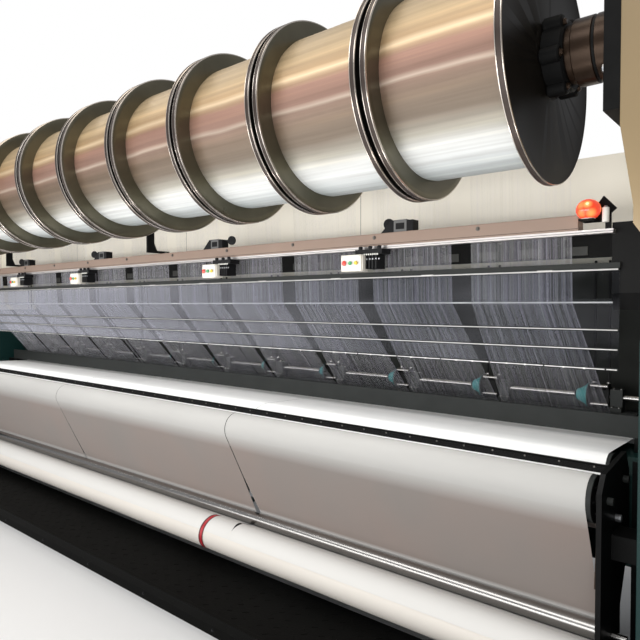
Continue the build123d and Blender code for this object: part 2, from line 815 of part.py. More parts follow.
# Black clamps: an arm over each box to the bright bar, and a finned block beside it
fin_count = 4
bright_bottom_z = rail_bottom_z - bright_bar_height
box_top_z = box_centre_z + box_height / 2
with BuildPart() as box_clamps:
    for box_x in box_places:
        with BuildSketch(Plane.XZ.offset(-guard_back_y)):
            with Locations((box_x + 80, (box_top_z + bright_bottom_z) / 2)):
                Rectangle(150, bright_bottom_z - box_top_z)
            for fin_index in range(fin_count):
                with Locations((box_x + box_width / 2 + 8 + fin_index * 18, box_centre_z + 6)):
                    Rectangle(10, box_height - 10)
        extrude(amount=70)
keep(box_clamps, "box_clamps")

# Sensor units on top of the rail
with BuildPart() as sensor_units:
    for sensor_x in sensor_places:
        with BuildSketch(Plane.XZ.offset(-(rail_front_y + 55))):
            with BuildLine():
                Polyline(
                    (sensor_x - 86, rail_top_z),
                    (sensor_x + 86, rail_top_z),
                    (sensor_x + 86, rail_top_z + 56),
                    (sensor_x - 16, rail_top_z + 56),
                    (sensor_x - 82, rail_top_z + 4),
                    close=True,
                )
            make_face()
        extrude(amount=50)
keep(sensor_units, "sensor_units")

# Warning lamp at the rail's right end: globe on a shelf, plate and stem
lamp_x = rail_half + 40
lamp_y = rail_front_y - 18
lamp_z = rail_top_z + 14
lamp_radius = 43.5
lamp_height = 72
lamp_chamfer = 17
with BuildPart() as lamp_globe:
    with BuildSketch(Plane(origin=(lamp_x, lamp_y, lamp_z - lamp_height / 2))):
        RegularPolygon(lamp_radius, 12)
    extrude(amount=lamp_height)
    lamp_ends = lamp_globe.faces().filter_by(Axis.Z)
    chamfer(lamp_ends.edges(), length=lamp_chamfer)
keep(lamp_globe, "lamp_globe")

shelf_z = lamp_z - lamp_height / 2
plate_y = guard_back_y - 12
with BuildPart() as lamp_bracket:
    with BuildSketch(Plane.XZ.offset(-guard_back_y + 4)):
        with BuildLine():
            Polyline(
                (lamp_x + 46, rail_bottom_z),
                (lamp_x + 66, rail_bottom_z),
                (lamp_x + 66, lamp_z - 12),
                (lamp_x + 84, lamp_z + 4),
                (lamp_x + 40, lamp_z + 52),
                (lamp_x - 26, shelf_z),
                (lamp_x - 26, shelf_z - 6),
                (lamp_x + 46, shelf_z - 6),
                close=True,
            )
        make_face()
    extrude(amount=8)
    with Locations((lamp_x, (lamp_y - 30 + plate_y) / 2, shelf_z - 3)):
        Box(52, plate_y - lamp_y + 30, 6)
keep(lamp_bracket, "lamp_bracket")
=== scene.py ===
import bpy
import json
import numpy as np
from math import atan2, ceil, cos, hypot, pi, radians, sin, sqrt
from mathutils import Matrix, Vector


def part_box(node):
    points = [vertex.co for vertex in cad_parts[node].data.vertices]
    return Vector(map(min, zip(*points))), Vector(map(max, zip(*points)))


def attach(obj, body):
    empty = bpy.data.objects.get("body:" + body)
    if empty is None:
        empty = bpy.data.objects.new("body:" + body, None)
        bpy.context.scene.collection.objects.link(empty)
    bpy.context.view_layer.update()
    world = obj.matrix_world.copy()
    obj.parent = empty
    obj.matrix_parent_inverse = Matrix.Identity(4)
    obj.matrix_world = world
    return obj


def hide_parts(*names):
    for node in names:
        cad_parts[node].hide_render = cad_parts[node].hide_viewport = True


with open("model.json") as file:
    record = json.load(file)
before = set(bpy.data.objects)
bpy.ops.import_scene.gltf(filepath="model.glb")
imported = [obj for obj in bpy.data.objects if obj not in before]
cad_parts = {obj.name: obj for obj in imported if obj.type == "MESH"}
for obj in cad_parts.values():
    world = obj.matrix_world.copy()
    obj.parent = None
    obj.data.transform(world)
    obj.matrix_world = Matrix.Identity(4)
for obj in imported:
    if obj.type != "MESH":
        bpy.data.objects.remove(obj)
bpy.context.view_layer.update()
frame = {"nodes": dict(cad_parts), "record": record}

X, Y, Z = 0, 1, 2


# Places taken from the frame. Everything below is in metres, in the frame of the CAD model.
def low(node, axis):
    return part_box(node)[0][axis]


def high(node, axis):
    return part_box(node)[1][axis]


def middle(node, axis):
    return (low(node, axis) + high(node, axis)) / 2


def extent(node, axis):
    return high(node, axis) - low(node, axis)


beam_count = 11
beam_axis_y = middle("beam_flanges", Y)
beam_axis_z = middle("beam_flanges", Z)
flange_radius = extent("beam_flanges", Z) / 2
flange_thickness = (extent("beam_flanges", X) - extent("yarn_windings", X)) / 2
winding_radius = extent("yarn_windings", Z) / 2
beam_spacing = 0.0214
beam_pitch = (extent("beam_flanges", X) + beam_spacing) / beam_count
winding_width = beam_pitch - beam_spacing - 2 * flange_thickness
row_half = beam_pitch * beam_count / 2
beam_cells = [(i - (beam_count - 1) / 2) * beam_pitch for i in range(beam_count)]
beam_gaps = [(i - beam_count / 2) * beam_pitch for i in range(beam_count + 1)]
cloth_half = extent("cloth_roll", X) / 2
random = np.random.default_rng(7)


# Mesh helpers. A part is a list of corners, a list of faces and a material number for each face.
def ring_faces(rings, segments):
    """Faces between neighbouring rings of corners, then the two end faces."""
    faces = []
    for ring in range(rings - 1):
        for step in range(segments):
            a = ring * segments + step
            b = ring * segments + (step + 1) % segments
            faces.append((a, b, b + segments, a + segments))
    faces.append(tuple(range(segments))[::-1])
    faces.append(tuple(range((rings - 1) * segments, rings * segments)))
    return faces


def lathe(profile, axis_y, axis_z, segments, number=0):
    """An (x, radius) outline turned about a line along X; number is one for all or one for each band."""
    angles = np.arange(segments) * 2 * pi / segments
    rings = []
    for x, radius in profile:
        ring_y = axis_y + radius * np.cos(angles)
        ring_z = axis_z + radius * np.sin(angles)
        rings.append(np.stack([np.full(segments, x), ring_y, ring_z], 1))
    bands = [number] * (len(profile) - 1) if isinstance(number, int) else number
    numbers = [band for band in bands for step in range(segments)] + [bands[0], bands[-1]]
    return np.concatenate(rings), ring_faces(len(profile), segments), numbers


def turned(profile, origin, direction, segments, number=0):
    """A (distance, radius) outline turned about a line through origin."""
    vertices, faces, numbers = lathe(profile, 0, 0, segments, number)
    way = np.array(direction, float)
    way /= np.linalg.norm(way)
    side = np.cross(way, (0, 0, 1) if abs(way[2]) < 0.9 else (1, 0, 0))
    side /= np.linalg.norm(side)
    third = np.cross(way, side)
    moved = np.array(origin) + vertices[:, :1] * way + vertices[:, 1:2] * side + vertices[:, 2:] * third
    return moved, faces, numbers


def on_side(profile, side, start=0.0):
    """A lathe outline put on the right (side 1) or the left (side -1) of the middle."""
    return [(side * (start + x), radius) for x, radius in profile]


def rod(start, end, radius, sides=16, number=0):
    """A round bar between two points, with softened ends."""
    length = float(np.linalg.norm(np.array(end) - np.array(start)))
    edge = min(radius * 0.2, length * 0.2)
    profile = [(0, radius - edge), (edge, radius), (length - edge, radius), (length, radius - edge)]
    return turned(profile, start, np.array(end) - np.array(start), sides, number)


def rod_along_x(x0, x1, y, z, radius, sides=16, number=0):
    return rod((x0, y, z), (x1, y, z), radius, sides, number)


def rod_along_y(y0, y1, x, z, radius, sides=16, number=0):
    return rod((x, y0, z), (x, y1, z), radius, sides, number)


def bolt(place, direction, radius, number=0):
    """A washer and a six-sided head."""
    washer = turned([(0, radius * 1.35), (radius * 0.3, radius * 1.35)], place, direction, 20, number)
    outline = [(0, radius), (radius * 0.85, radius), (radius, radius * 0.85)]
    return [washer, turned(outline, place, direction, 6, number)]


def bolts(x_places, y_places, z_places, direction, radius, number=0):
    """Bolts at every combination of the places along X, Y and Z."""
    places = [(x, y, z) for x in x_places for y in y_places for z in z_places]
    return [part for place in places for part in bolt(place, direction, radius, number)]


def block(x0, x1, y0, y1, z0, z1, number=0):
    corners = [(x, y, z) for x in (x0, x1) for y in (y0, y1) for z in (z0, z1)]
    sides = [(0, 1, 3, 2), (4, 6, 7, 5), (0, 4, 5, 1), (2, 3, 7, 6), (0, 2, 6, 4), (1, 5, 7, 3)]
    return np.array(corners), sides, [number] * 6


def prism(outline, x0, x1, number=0):
    """A (y, z) outline drawn out along X."""
    count = len(outline)
    corners = [(x0, y, z) for y, z in outline] + [(x1, y, z) for y, z in outline]
    faces = [(i, (i + 1) % count, (i + 1) % count + count, i + count) for i in range(count)]
    faces += [tuple(range(count))[::-1], tuple(range(count, 2 * count))]
    return np.array(corners), faces, [number] * len(faces)


def repeated(base, sides, corners, count):
    """One part from copies of a block whose corners are already in place."""
    faces = [tuple(corner + len(base) * index for corner in side) for index in range(count) for side in sides]
    return corners, faces, [0] * len(faces)


def gather(parts):
    vertices, faces, numbers, start = [], [], [], 0
    for part_vertices, part_faces, part_numbers in parts:
        vertices.append(np.asarray(part_vertices, float))
        faces += [tuple(corner + start for corner in face) for face in part_faces]
        numbers += list(part_numbers)
        start += len(part_vertices)
    return np.concatenate(vertices), faces, numbers


def put(name, parts, materials, body, stands_for=(), edge=0.0, sharp=35):
    """Object made of parts, riding on a body and standing for CAD nodes."""
    vertices, faces, numbers = gather(parts)
    mesh = bpy.data.meshes.new(name)
    mesh.from_pydata(vertices.tolist(), [], faces)
    for material in materials:
        mesh.materials.append(material)
    mesh.polygons.foreach_set("material_index", numbers)
    mesh.polygons.foreach_set("use_smooth", [True] * len(mesh.polygons))
    mesh.update()
    mesh.set_sharp_from_angle(angle=radians(sharp))
    piece = bpy.data.objects.new(name, mesh)
    bpy.context.scene.collection.objects.link(piece)
    if edge:
        modifier = piece.modifiers.new("edges", "BEVEL")
        modifier.width = edge
        modifier.segments = 2
        modifier.limit_method = "ANGLE"
        modifier.angle_limit = radians(40)
    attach(piece, body)
    if stands_for:
        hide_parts(*stands_for)
    return piece


# Materials
class NodeTree:
    """The nodes of a material or of the world."""

    def __init__(self, owner):
        owner.use_nodes = True
        self.tree = owner.node_tree
        self.tree.nodes.clear()

    def node(self, kind, feeds=None, **settings):
        made = self.tree.nodes.new(kind)
        for setting, value in settings.items():
            setattr(made, setting, value)
        for name, value in (feeds or {}).items():
            self.feed(made.inputs[name], value)
        return made

    def feed(self, socket, value):
        """Link a socket to another one, or give it a value."""
        if isinstance(value, bpy.types.NodeSocket):
            self.tree.links.new(value, socket)
        else:
            socket.default_value = (*value, 1) if socket.type == "RGBA" else value


class Finish(NodeTree):
    """A procedural material in the making: its surface, and the nodes that feed it."""

    def __init__(self, name):
        self.material = bpy.data.materials.new(name)
        super().__init__(self.material)
        self.output = self.node("ShaderNodeOutputMaterial")
        self.surface = self.node("ShaderNodeBsdfPrincipled")
        self.feed(self.output.inputs[0], self.surface.outputs[0])
        self.place = self.node("ShaderNodeTexCoord").outputs["Object"]

    def set(self, **values):
        for name, value in values.items():
            self.feed(self.surface.inputs[name.replace("_", " ")], value)

    def along(self, axis):
        """The object's own coordinate along an axis."""
        return self.node("ShaderNodeSeparateXYZ", {0: self.place}).outputs[axis]

    def noise(self, scale, detail=3, stretch=(1, 1, 1)):
        mapping = self.node("ShaderNodeMapping", {"Vector": self.place, "Scale": stretch})
        feeds = {"Vector": mapping.outputs[0], "Scale": scale, "Detail": detail}
        return self.node("ShaderNodeTexNoise", feeds).outputs["Fac"]

    def ramp(self, source, first, *others):
        """Colour ramp through (place, colour) stops."""
        ramp = self.node("ShaderNodeValToRGB", {0: source})
        elements = ramp.color_ramp.elements
        for element, (place, colour) in zip(elements, (first, others[-1])):
            element.position = place
            element.color = (*colour, 1)
        for place, colour in others[:-1]:
            elements.new(place).color = (*colour, 1)
        return ramp.outputs[0]

    def spread(self, source, start, end, lowest=0.0, highest=1.0):
        """Even change from lowest to highest while the source goes from start to end."""
        feeds = {"Value": source, "From Min": start, "From Max": end, "To Min": lowest, "To Max": highest}
        return self.node("ShaderNodeMapRange", feeds).outputs[0]

    def maths(self, operation, *values):
        return self.node("ShaderNodeMath", dict(enumerate(values)), operation=operation).outputs[0]

    def mix(self, factor, first, second, blend="MIX"):
        feeds = {"Factor": factor, "A": first, "B": second}
        return self.node("ShaderNodeMix", feeds, data_type="RGBA", blend_type=blend).outputs["Result"]

    def relief(self, height, strength, distance=0.002, edge=0.0):
        """Relief from a height, over edges rounded by a small radius."""
        relief = self.node("ShaderNodeBump", {"Strength": strength, "Distance": distance, "Height": height})
        if edge:
            soft = self.node("ShaderNodeBevel", {"Radius": edge}, samples=4)
            self.feed(relief.inputs["Normal"], soft.outputs[0])
        self.set(Normal=relief.outputs[0])


def times(colour, factor):
    return [min(1, part * factor) for part in colour]


def paint(name, colour, rough=0.5, metal=0.0, spread=0.08, scale=18.0, bump=0.05, grain=220.0,
          stretch=(1, 1, 1), edge=0.0, seams=(), shine=0.5):
    """Finish with a faint mottle in colour and gloss, fine grain, and dark panel seams at given places."""
    finish = Finish(name)
    mottle = finish.noise(scale, 4, stretch)
    shade = finish.ramp(mottle, (0.25, times(colour, 1 - spread)), (0.75, times(colour, 1 + spread)))
    seam_half = 0.0016
    for axis, at in seams:
        near = finish.maths("COMPARE", finish.along(axis), at, seam_half)
        shade = finish.mix(near, shade, times(colour, 0.15))
    gloss = finish.spread(mottle, 0, 1, max(0.02, rough - 0.07), min(1, rough + 0.07))
    finish.set(Base_Color=shade, Roughness=gloss, Metallic=metal, Specular_IOR_Level=shine)
    finish.relief(finish.noise(grain, 2, stretch), bump, 0.002, edge)
    return finish.material


def yarn_material(name):
    """Silky yarn on the beams: bands along the axis by height round the winding, which are painted
    highlights, sheen and shade (a white highlight low, darker tan and pink in the middle, gold above), and
    fine streaks that are partly yarn tone and partly painted glints.
    """
    finish = Finish(name)
    # The colour by height round the winding is painted light and shade, not the yarn's own tone.
    height = finish.spread(finish.along(Z), beam_axis_z - winding_radius, beam_axis_z + winding_radius)
    sway = finish.maths("MULTIPLY_ADD", finish.noise(2.2, 2, (1, 0.4, 0.4)), 0.05, height)
    painted_light_bands = finish.ramp(
        sway,
        (0.020, (0.53, 0.58, 0.59)),
        (0.075, (0.78, 0.80, 0.80)),
        (0.115, (0.75, 0.76, 0.75)),
        (0.170, (0.37, 0.35, 0.30)),
        (0.250, (0.205, 0.160, 0.120)),
        (0.345, (0.185, 0.130, 0.090)),
        (0.415, (0.27, 0.180, 0.135)),
        (0.430, (0.52, 0.41, 0.33)),
        (0.455, (0.32, 0.195, 0.150)),
        (0.550, (0.34, 0.190, 0.140)),
        (0.580, (0.44, 0.29, 0.17)),
        (0.610, (0.66, 0.50, 0.32)),
        (0.640, (0.42, 0.28, 0.15)),
        (0.720, (0.52, 0.38, 0.22)),
        (0.760, (0.42, 0.31, 0.18)),
        (1.000, (0.45, 0.36, 0.24)),
    )
    # Fine streaks along the axis: partly the yarn's own tone, partly painted glints that brighten it past its
    # colour.
    streak_tone_and_glints = finish.ramp(finish.noise(40, 5, (0.02, 1, 1)),
                          (0.30, (0.80, 0.79, 0.78)), (0.55, (1.0, 1.0, 1.0)), (0.75, (1.22, 1.20, 1.16)))
    way = finish.node("ShaderNodeTangent", direction_type="RADIAL", axis="X")
    finish.set(Base_Color=finish.mix(1.0, painted_light_bands, streak_tone_and_glints, "MULTIPLY"), Roughness=0.38, Metallic=0.25,
               Anisotropic=0.5, Tangent=way.outputs[0])
    fine = finish.noise(150, 4, (0.02, 1, 1))
    turns = finish.noise(700, 1, (1, 0.02, 0.02))
    finish.relief(finish.maths("ADD", fine, turns), 0.25, 0.0012)
    return finish.material


def thread_material(name, colour):
    """Warp threads: each its own grey, with speckles along it."""
    finish = Finish(name)
    red, green_part, blue = colour
    shade = finish.ramp(finish.noise(90, 4, (1, 0.01, 0.01)), (0.30, times(colour, 0.45)), (0.47, colour),
                        (0.56, (red * 0.9, green_part * 0.85, blue)), (0.70, times(colour, 1.35)))
    finish.set(Base_Color=shade, Roughness=0.5)
    finish.relief(finish.noise(400, 2), 0.2, 0.001)
    return finish.material


def clear_material(name, tint):
    """Thin clear sheet: seen through from the front, hazier at a slant and in patches."""
    finish = Finish(name)
    facing = finish.node("ShaderNodeLayerWeight", {"Blend": 0.3}).outputs["Facing"]
    slanted = finish.spread(facing, 0.10, 0.45, 0.0, 0.20)
    patches = finish.spread(finish.noise(2.2, 3, (1, 1, 2.5)), 0.35, 0.75, 0.0, 0.04)
    clear = finish.node("ShaderNodeBsdfTransparent", {0: tint})
    haze = finish.maths("ADD", slanted, patches)
    mix = finish.node("ShaderNodeMixShader", {0: haze, 1: clear.outputs[0], 2: finish.surface.outputs[0]})
    finish.feed(finish.output.inputs[0], mix.outputs[0])
    finish.set(Base_Color=(0.62, 0.62, 0.70), Roughness=0.2)
    return finish.material


def glow_material(name):
    """Lit lamp cover: orange-red with yellow-white hot spots."""
    finish = Finish(name)
    spots = finish.node("ShaderNodeTexVoronoi", {"Vector": finish.place, "Scale": 30})
    shade = finish.ramp(spots.outputs["Distance"], (0.10, (1.0, 0.80, 0.40)), (0.24, (1.0, 0.28, 0.08)),
                        (0.62, (0.62, 0.05, 0.02)))
    finish.set(Base_Color=shade, Emission_Color=shade, Emission_Strength=0.85, Roughness=0.15)
    return finish.material


def cloth_material(name, colour, front_shaded_colour, roll_shaded_colour, shade_colour):
    """Knitted cloth with soft bands, in lit and shaded copies of one white: painted light on the upper
    roller, a darker painted shade in front and on the roll, and the darkest painted shade where it hangs.
    """
    finish = Finish(name)
    bands = finish.noise(8, 3, (0.15, 1, 1))
    upper_roller_lit_tone = finish.ramp(bands, (0.3, times(colour, 0.95)), (0.7, times(colour, 1.03)))
    front_shaded_tone = finish.ramp(bands, (0.3, times(front_shaded_colour, 0.95)), (0.7, times(front_shaded_colour, 1.03)))
    red, green_part, blue = shade_colour
    painted_shade_tone = finish.ramp(finish.noise(1.6, 2), (0.3, (red * 0.92, green_part * 0.98, blue)),
                            (0.5, shade_colour), (0.7, (red * 1.06, green_part, blue * 0.98)))
    # Each tone goes where light or shade falls on the cloth, not where the cloth changes.
    height = finish.along(Z)
    above_roll = finish.spread(height, 0.60, 0.70)
    in_front = finish.spread(finish.along(Y), -0.49, -0.52)
    lit_and_shaded_tone = finish.mix(in_front, upper_roller_lit_tone, finish.mix(above_roll, roll_shaded_colour, front_shaded_tone))
    # The hanging stretch down to the chrome roller gets the painted shade tone.
    below_roller = finish.spread(height, 0.835, 0.755)
    above_chrome = finish.spread(height, 0.365, 0.40)
    hanging = finish.maths("MULTIPLY", below_roller, above_chrome)
    finish.set(Base_Color=finish.mix(hanging, lit_and_shaded_tone, painted_shade_tone), Roughness=0.7, Sheen_Weight=0.15)
    finish.relief(finish.noise(900, 1, (1, 0.3, 0.3)), 0.25, 0.0008)
    return finish.material


def seams_at(axis, *places):
    return [(axis, place) for place in places]


steel_face = paint("flange_face", (0.135, 0.125, 0.090), 0.30, 0.8, 0.20, 5, 0.05, 60)
flange_back = paint("flange_back", (0.009, 0.0075, 0.006), 0.45, 0.0, 0.25, 4, shine=0.12)
flange_rim = paint("flange_rim", (0.66, 0.60, 0.54), 0.25, 0.9, 0.1, 30)
flange_groove = paint("flange_groove", (0.055, 0.040, 0.034), 0.4, 0.5, 0.15, 30)
yarn = yarn_material("yarn_on_beam")
warp = thread_material("warp_thread", (0.64, 0.65, 0.67))
# One white cloth, given as painted light and shade: bright on the upper roller, darker in front and on the
# roll, darkest where it hangs.
cloth = cloth_material("knitted_cloth", (0.93, 0.93, 0.92), (0.46, 0.450, 0.432), (0.672, 0.657, 0.631),
                       (0.250, 0.210, 0.190))
rolled = paint("rolled_cloth", (0.72, 0.675, 0.615), 0.68, 0, 0.05, 6, 0.2, 500, (0.1, 1, 1))
# Near-black finish for the faces inside the roll's groove: painted shade between the rolled webs.
groove_shade_black = paint("groove_shade_black", (0.03, 0.028, 0.026), 0.8, 0, 0.2, 30)
cream = paint("cream_paint", (0.90, 0.86, 0.76), 0.45, 0, 0.03, 3, edge=0.004,
              seams=seams_at(X, 0.0, 1.55, -1.55))
beige = paint("beige_paint", (0.25, 0.180, 0.094), 0.42, 0, 0.05, 3, edge=0.005)
green = paint("green_paint", (0.006, 0.028, 0.026), 0.45, 0, 0.12, 4, shine=0.25, edge=0.006,
              seams=seams_at(Z, 1.38, 0.14) + seams_at(Y, 0.42, -0.36))
black_metal = paint("black_metal", (0.006, 0.006, 0.006), 0.50, 0, 0.25, 14, edge=0.002, shine=0.10)
tread = paint("tread_plate", (0.003, 0.003, 0.0027), 0.6, 0, 0.3, 20, 0.5, 90, edge=0.003, shine=0.05)
dark_bar = paint("dark_bar", (0.026, 0.028, 0.027), 0.5, 0, 0.15, 9, edge=0.002, shine=0.12)
dim_cover = paint("dim_cover", (0.020, 0.021, 0.019), 0.7, 0, 0.3, 6, shine=0.1,
                  seams=seams_at(X, 0.0, 1.5, -1.5))
rail_paint = paint("rail_paint", (0.27, 0.190, 0.148), 0.40, 0.1, 0.06, 5, edge=0.004)
bright = paint("bright_metal", (0.60, 0.57, 0.56), 0.30, 0.85, 0.05, 25, 0.05, 300, (0.1, 1, 1))
guard_metal = paint("guard_metal", (0.62, 0.61, 0.60), 0.35, 0.5, 0.08, 25)
chrome = paint("chrome", (0.34, 0.33, 0.32), 0.24, 1.0, 0.05, 20, 0.0, 100, (0.2, 1, 1))
steel = paint("steel", (0.42, 0.43, 0.45), 0.3, 0.9, 0.08, 40, edge=0.0015)
hub_steel = paint("hub_steel", (0.040, 0.024, 0.015), 0.33, 0.6, 0.15, 12, shine=0.3)
teal = paint("teal_plastic", (0.045, 0.23, 0.24), 0.25, 0, 0.12, 30)
box_paint = paint("box_paint", (0.80, 0.76, 0.68), 0.42, 0, 0.04, 20)
black_plastic = paint("black_plastic", (0.009, 0.009, 0.010), 0.5, 0, 0.2, 40, 0.1, shine=0.15)
grey_plastic = paint("grey_plastic", (0.11, 0.11, 0.11), 0.5, 0, 0.1, 30, 0.1)
dim_steel = paint("dim_steel", (0.13, 0.12, 0.11), 0.4, 0.6, 0.15, 30)
# Near-black grey of the crossbeam skirt: partly a dark part, partly painted shade under the rail.
dark_skirt_and_shade = paint("dark_skirt_and_shade", (0.035, 0.036, 0.032), 0.5, 0, 0.4, 9, 0.1)
white_plastic = paint("white_plastic", (0.75, 0.74, 0.70), 0.4, 0, 0.04, 30)
red_plastic = paint("red_plastic", (0.72, 0.05, 0.03), 0.25, 0, 0.08, 80)
green_plastic = paint("green_plastic", (0.05, 0.34, 0.12), 0.25, 0, 0.08, 80)
yellow_plastic = paint("yellow_plastic", (0.80, 0.55, 0.05), 0.25, 0, 0.08, 80)
ribbon_red = paint("ribbon_red", (0.42, 0.022, 0.03), 0.35, 0, 0.25, 30, 0.1, 200)
ribbon_dark = paint("ribbon_dark", (0.07, 0.008, 0.012), 0.45, 0, 0.25, 30, 0.1, 200)
clear_sheet = clear_material("clear_sheet", (0.90, 0.91, 0.93))
lamp_cover = glow_material("lamp_cover")

slot_material = {
    "dark_flange": steel_face,
    "yarn": yarn,
    "cloth": cloth,
    "cream_paint": cream,
    "green_paint": green,
    "beige_paint": beige,
    "black_metal": black_metal,
    "rail_paint": rail_paint,
    "bright_metal": bright,
    "chrome": chrome,
    "steel": steel,
    "dark_bar": dark_bar,
    "clear_sheet": clear_sheet,
    "teal_plastic": teal,
    "box_paint": box_paint,
    "black_plastic": black_plastic,
    "red_plastic": red_plastic,
    "green_plastic": green_plastic,
    "yellow_plastic": yellow_plastic,
    "lamp_plastic": lamp_cover,
}
own_material = {
    "clamp_brackets": dark_bar,
    "upper_roller": dark_bar,
    "lower_roller": dark_bar,
    "platform": tread,
    "rear_cover": dim_cover,
    "guard_bars_1": dark_bar,
    "guard_bars_2": dark_bar,
}
for subpart in frame["record"]["subparts"]:
    node = frame["nodes"][subpart["node"]]
    node.data.materials.clear()
    node.data.materials.append(own_material.get(subpart["node"], slot_material[subpart["material_slot"]]))


# Warp beams
def flange(inner_x, out):
    """One flange: inner face at inner_x, outer face on the side that out points to."""
    edge = flange_radius - 0.0004
    depth = flange_thickness
    shape = [(0.0, 0.05), (0.0, edge - 0.030), (-0.0005, edge - 0.026), (0.0, edge - 0.005), (0.0022, edge),
             (0.0050, edge), (0.0062, edge - 0.0015), (depth - 0.0045, edge - 0.0015), (depth - 0.0035, edge),
             (depth - 0.0015, edge), (depth, edge - 0.003), (depth - 0.0035, edge - 0.014),
             (depth - 0.0035, 0.13), (depth, 0.125), (depth, 0.05)]
    surface = [0, 0, 0, 2, 2, 3, 3, 3, 2, 2, 1, 1, 1, 1]
    return lathe([(inner_x + out * x, radius) for x, radius in shape], beam_axis_y, beam_axis_z, 128, surface)


parts = [flange(cell_x + side * winding_width / 2, side) for cell_x in beam_cells for side in (-1, 1)]
put("turned_flanges", parts, [steel_face, flange_back, flange_rim, flange_groove], "beam_row",
    ["beam_flanges"])

parts = []
barrel_radius = 0.125
for cell_x in beam_cells:
    profile = [(cell_x - winding_width / 2 + 0.0005, barrel_radius)]
    for share in np.linspace(-0.5, 0.5, 29):
        radius = winding_radius - 0.0006 - 0.0008 * random.random() - 0.004 * (abs(share) > 0.495)
        profile.append((cell_x + share * (winding_width - 0.001), radius))
    profile.append((cell_x + winding_width / 2 - 0.0005, barrel_radius))
    parts.append(lathe(profile, beam_axis_y, beam_axis_z, 128))
put("yarn_on_beams", parts, [yarn], "beam_row", ["yarn_windings"], sharp=60)

# Hubs at both ends of the row: a collar with six clamping lobes, a ring and the thick shaft
parts = []
hub_start = row_half - beam_spacing / 2
collar_radius = 0.112
collar_depth = 0.066
shape = [(0.0, 0.100), (0.004, collar_radius), (0.062, collar_radius), (0.070, 0.104), (0.070, 0.092),
         (0.090, 0.092), (0.090, 0.101), (0.093, 0.104), (0.150, 0.104), (0.152, 0.100), (0.160, 0.100),
         (0.162, 0.104), (0.2547, 0.104)]
surface = [0, 0, 0, 0, 1, 1, 1, 1, 1, 0, 1, 1]
for side in (-1, 1):
    parts.append(lathe(on_side(shape, side, hub_start), beam_axis_y, beam_axis_z, 96, surface))
    lobe_x = side * (hub_start + collar_depth)
    for index in range(6):
        turn = radians(60 * index + 12)
        lobe_y = beam_axis_y + collar_radius * cos(turn)
        lobe_z = beam_axis_z + collar_radius * sin(turn)
        parts.append(rod_along_x(side * (hub_start + 0.003), lobe_x, lobe_y, lobe_z, 0.0255, 24))
        parts += bolt((lobe_x, lobe_y, lobe_z), (side, 0, 0), 0.009, 1)
put("beam_hubs", parts, [black_metal, hub_steel], "beam_row", ["drive_shafts"])

# Couplings between neighbouring beams
coupling = [(-0.0105, 0.040), (-0.004, 0.044), (0.004, 0.044), (0.0105, 0.040)]
parts = [lathe(on_side(coupling, 1, gap_x), beam_axis_y, beam_axis_z, 32) for gap_x in beam_gaps[1:-1]]
put("beam_couplings", parts, [black_metal], "beam_row")

# Warp threads: thin three-sided threads from the windings over the deflection bar to the needles
bend_y = middle("deflection_bar", Y)
bend_z = middle("deflection_bar", Z)
bend_radius = 0.0135
needle_y = 0.005
needle_z = 1.028
leave_turn = radians(2.7)
leave_y = beam_axis_y + (winding_radius + 0.0004) * cos(leave_turn)
leave_z = beam_axis_z + (winding_radius + 0.0004) * sin(leave_turn)
rail_level = 1.862
rail_depth = 0.04


def sheet_y(z):
    """Where the threads are at a height between the windings and the deflection bar."""
    return leave_y + (bend_y - bend_radius - leave_y) * (leave_z - z) / (leave_z - bend_z)


# Each row: place on the path, width of a beam's threads there, and share of a thread's full thickness
thread_path = [
    (leave_y, leave_z, 0.4117, 0.30),
    (sheet_y(rail_level), rail_level, 0.4192, 0.30),
    (sheet_y(rail_level - rail_depth), rail_level - rail_depth, 0.4198, 1.0),
]
for turn in (radians(183), radians(200), radians(219)):
    thread_path.append((bend_y + bend_radius * cos(turn), bend_z + bend_radius * sin(turn), 0.4237, 1.0))
thread_path.append((needle_y, needle_z, 0.5051, 0.6))
# Stripes without threads, by beam: place in the beam's width and width of the stripe, both as shares
bare_stripes = {9: (-0.300, 0.009), 7: (-0.190, 0.012), 6: (0.190, 0.012), 3: (-0.143, 0.012),
                4: (-0.42, 0.03)}
threads_per_beam = 300
thread_corners = [(-1.0, 0.0), (0.5, 0.87), (0.5, -0.87)]
vertices = []
faces = []
for cell, cell_x in enumerate(beam_cells):
    shares = (np.arange(threads_per_beam) + random.random(threads_per_beam) * 0.9) / threads_per_beam - 0.5
    shares += 0.0016 * np.sin(shares * 90 + cell)
    stripe_place, stripe_width = bare_stripes.get(cell, (0, 0))
    for share in np.clip(shares, -0.499, 0.499):
        if abs(share - stripe_place) < stripe_width / 2:
            continue
        full_radius = 0.00014 + 0.00024 * random.random() ** 2
        start = len(vertices)
        for path_y, path_z, width, fineness in thread_path:
            radius = full_radius * fineness
            for corner_x, corner_y in thread_corners:
                x = cell_x + share * width + radius * corner_x
                vertices.append((x, path_y + radius * corner_y, path_z))
        for point in range(len(thread_path) - 1):
            for corner in range(3):
                a = start + point * 3 + corner
                b = start + point * 3 + (corner + 1) % 3
                faces.append((a, b, b + 3, a + 3))
put("warp_threads", [(np.array(vertices), faces, [0] * len(faces))], [warp], "frame", ["warp_sheets"],
    sharp=180)

# A thin white rod along the front of the dark bar is a painted highlight line, not a part of the bar.
highlight_turn = radians(196)
highlight_y = bend_y + 0.0095 * cos(highlight_turn)
highlight_z = bend_z + 0.0095 * sin(highlight_turn)
bar_end = high("deflection_bar", X)
parts = [rod_along_x(-bar_end, bar_end, bend_y, bend_z, 0.0110, 32, 0),
         rod_along_x(-bar_end, bar_end, highlight_y, highlight_z, 0.0034, 12, 1)]
put("deflection_rod", parts, [dark_bar, white_plastic], "frame", ["deflection_bar"])

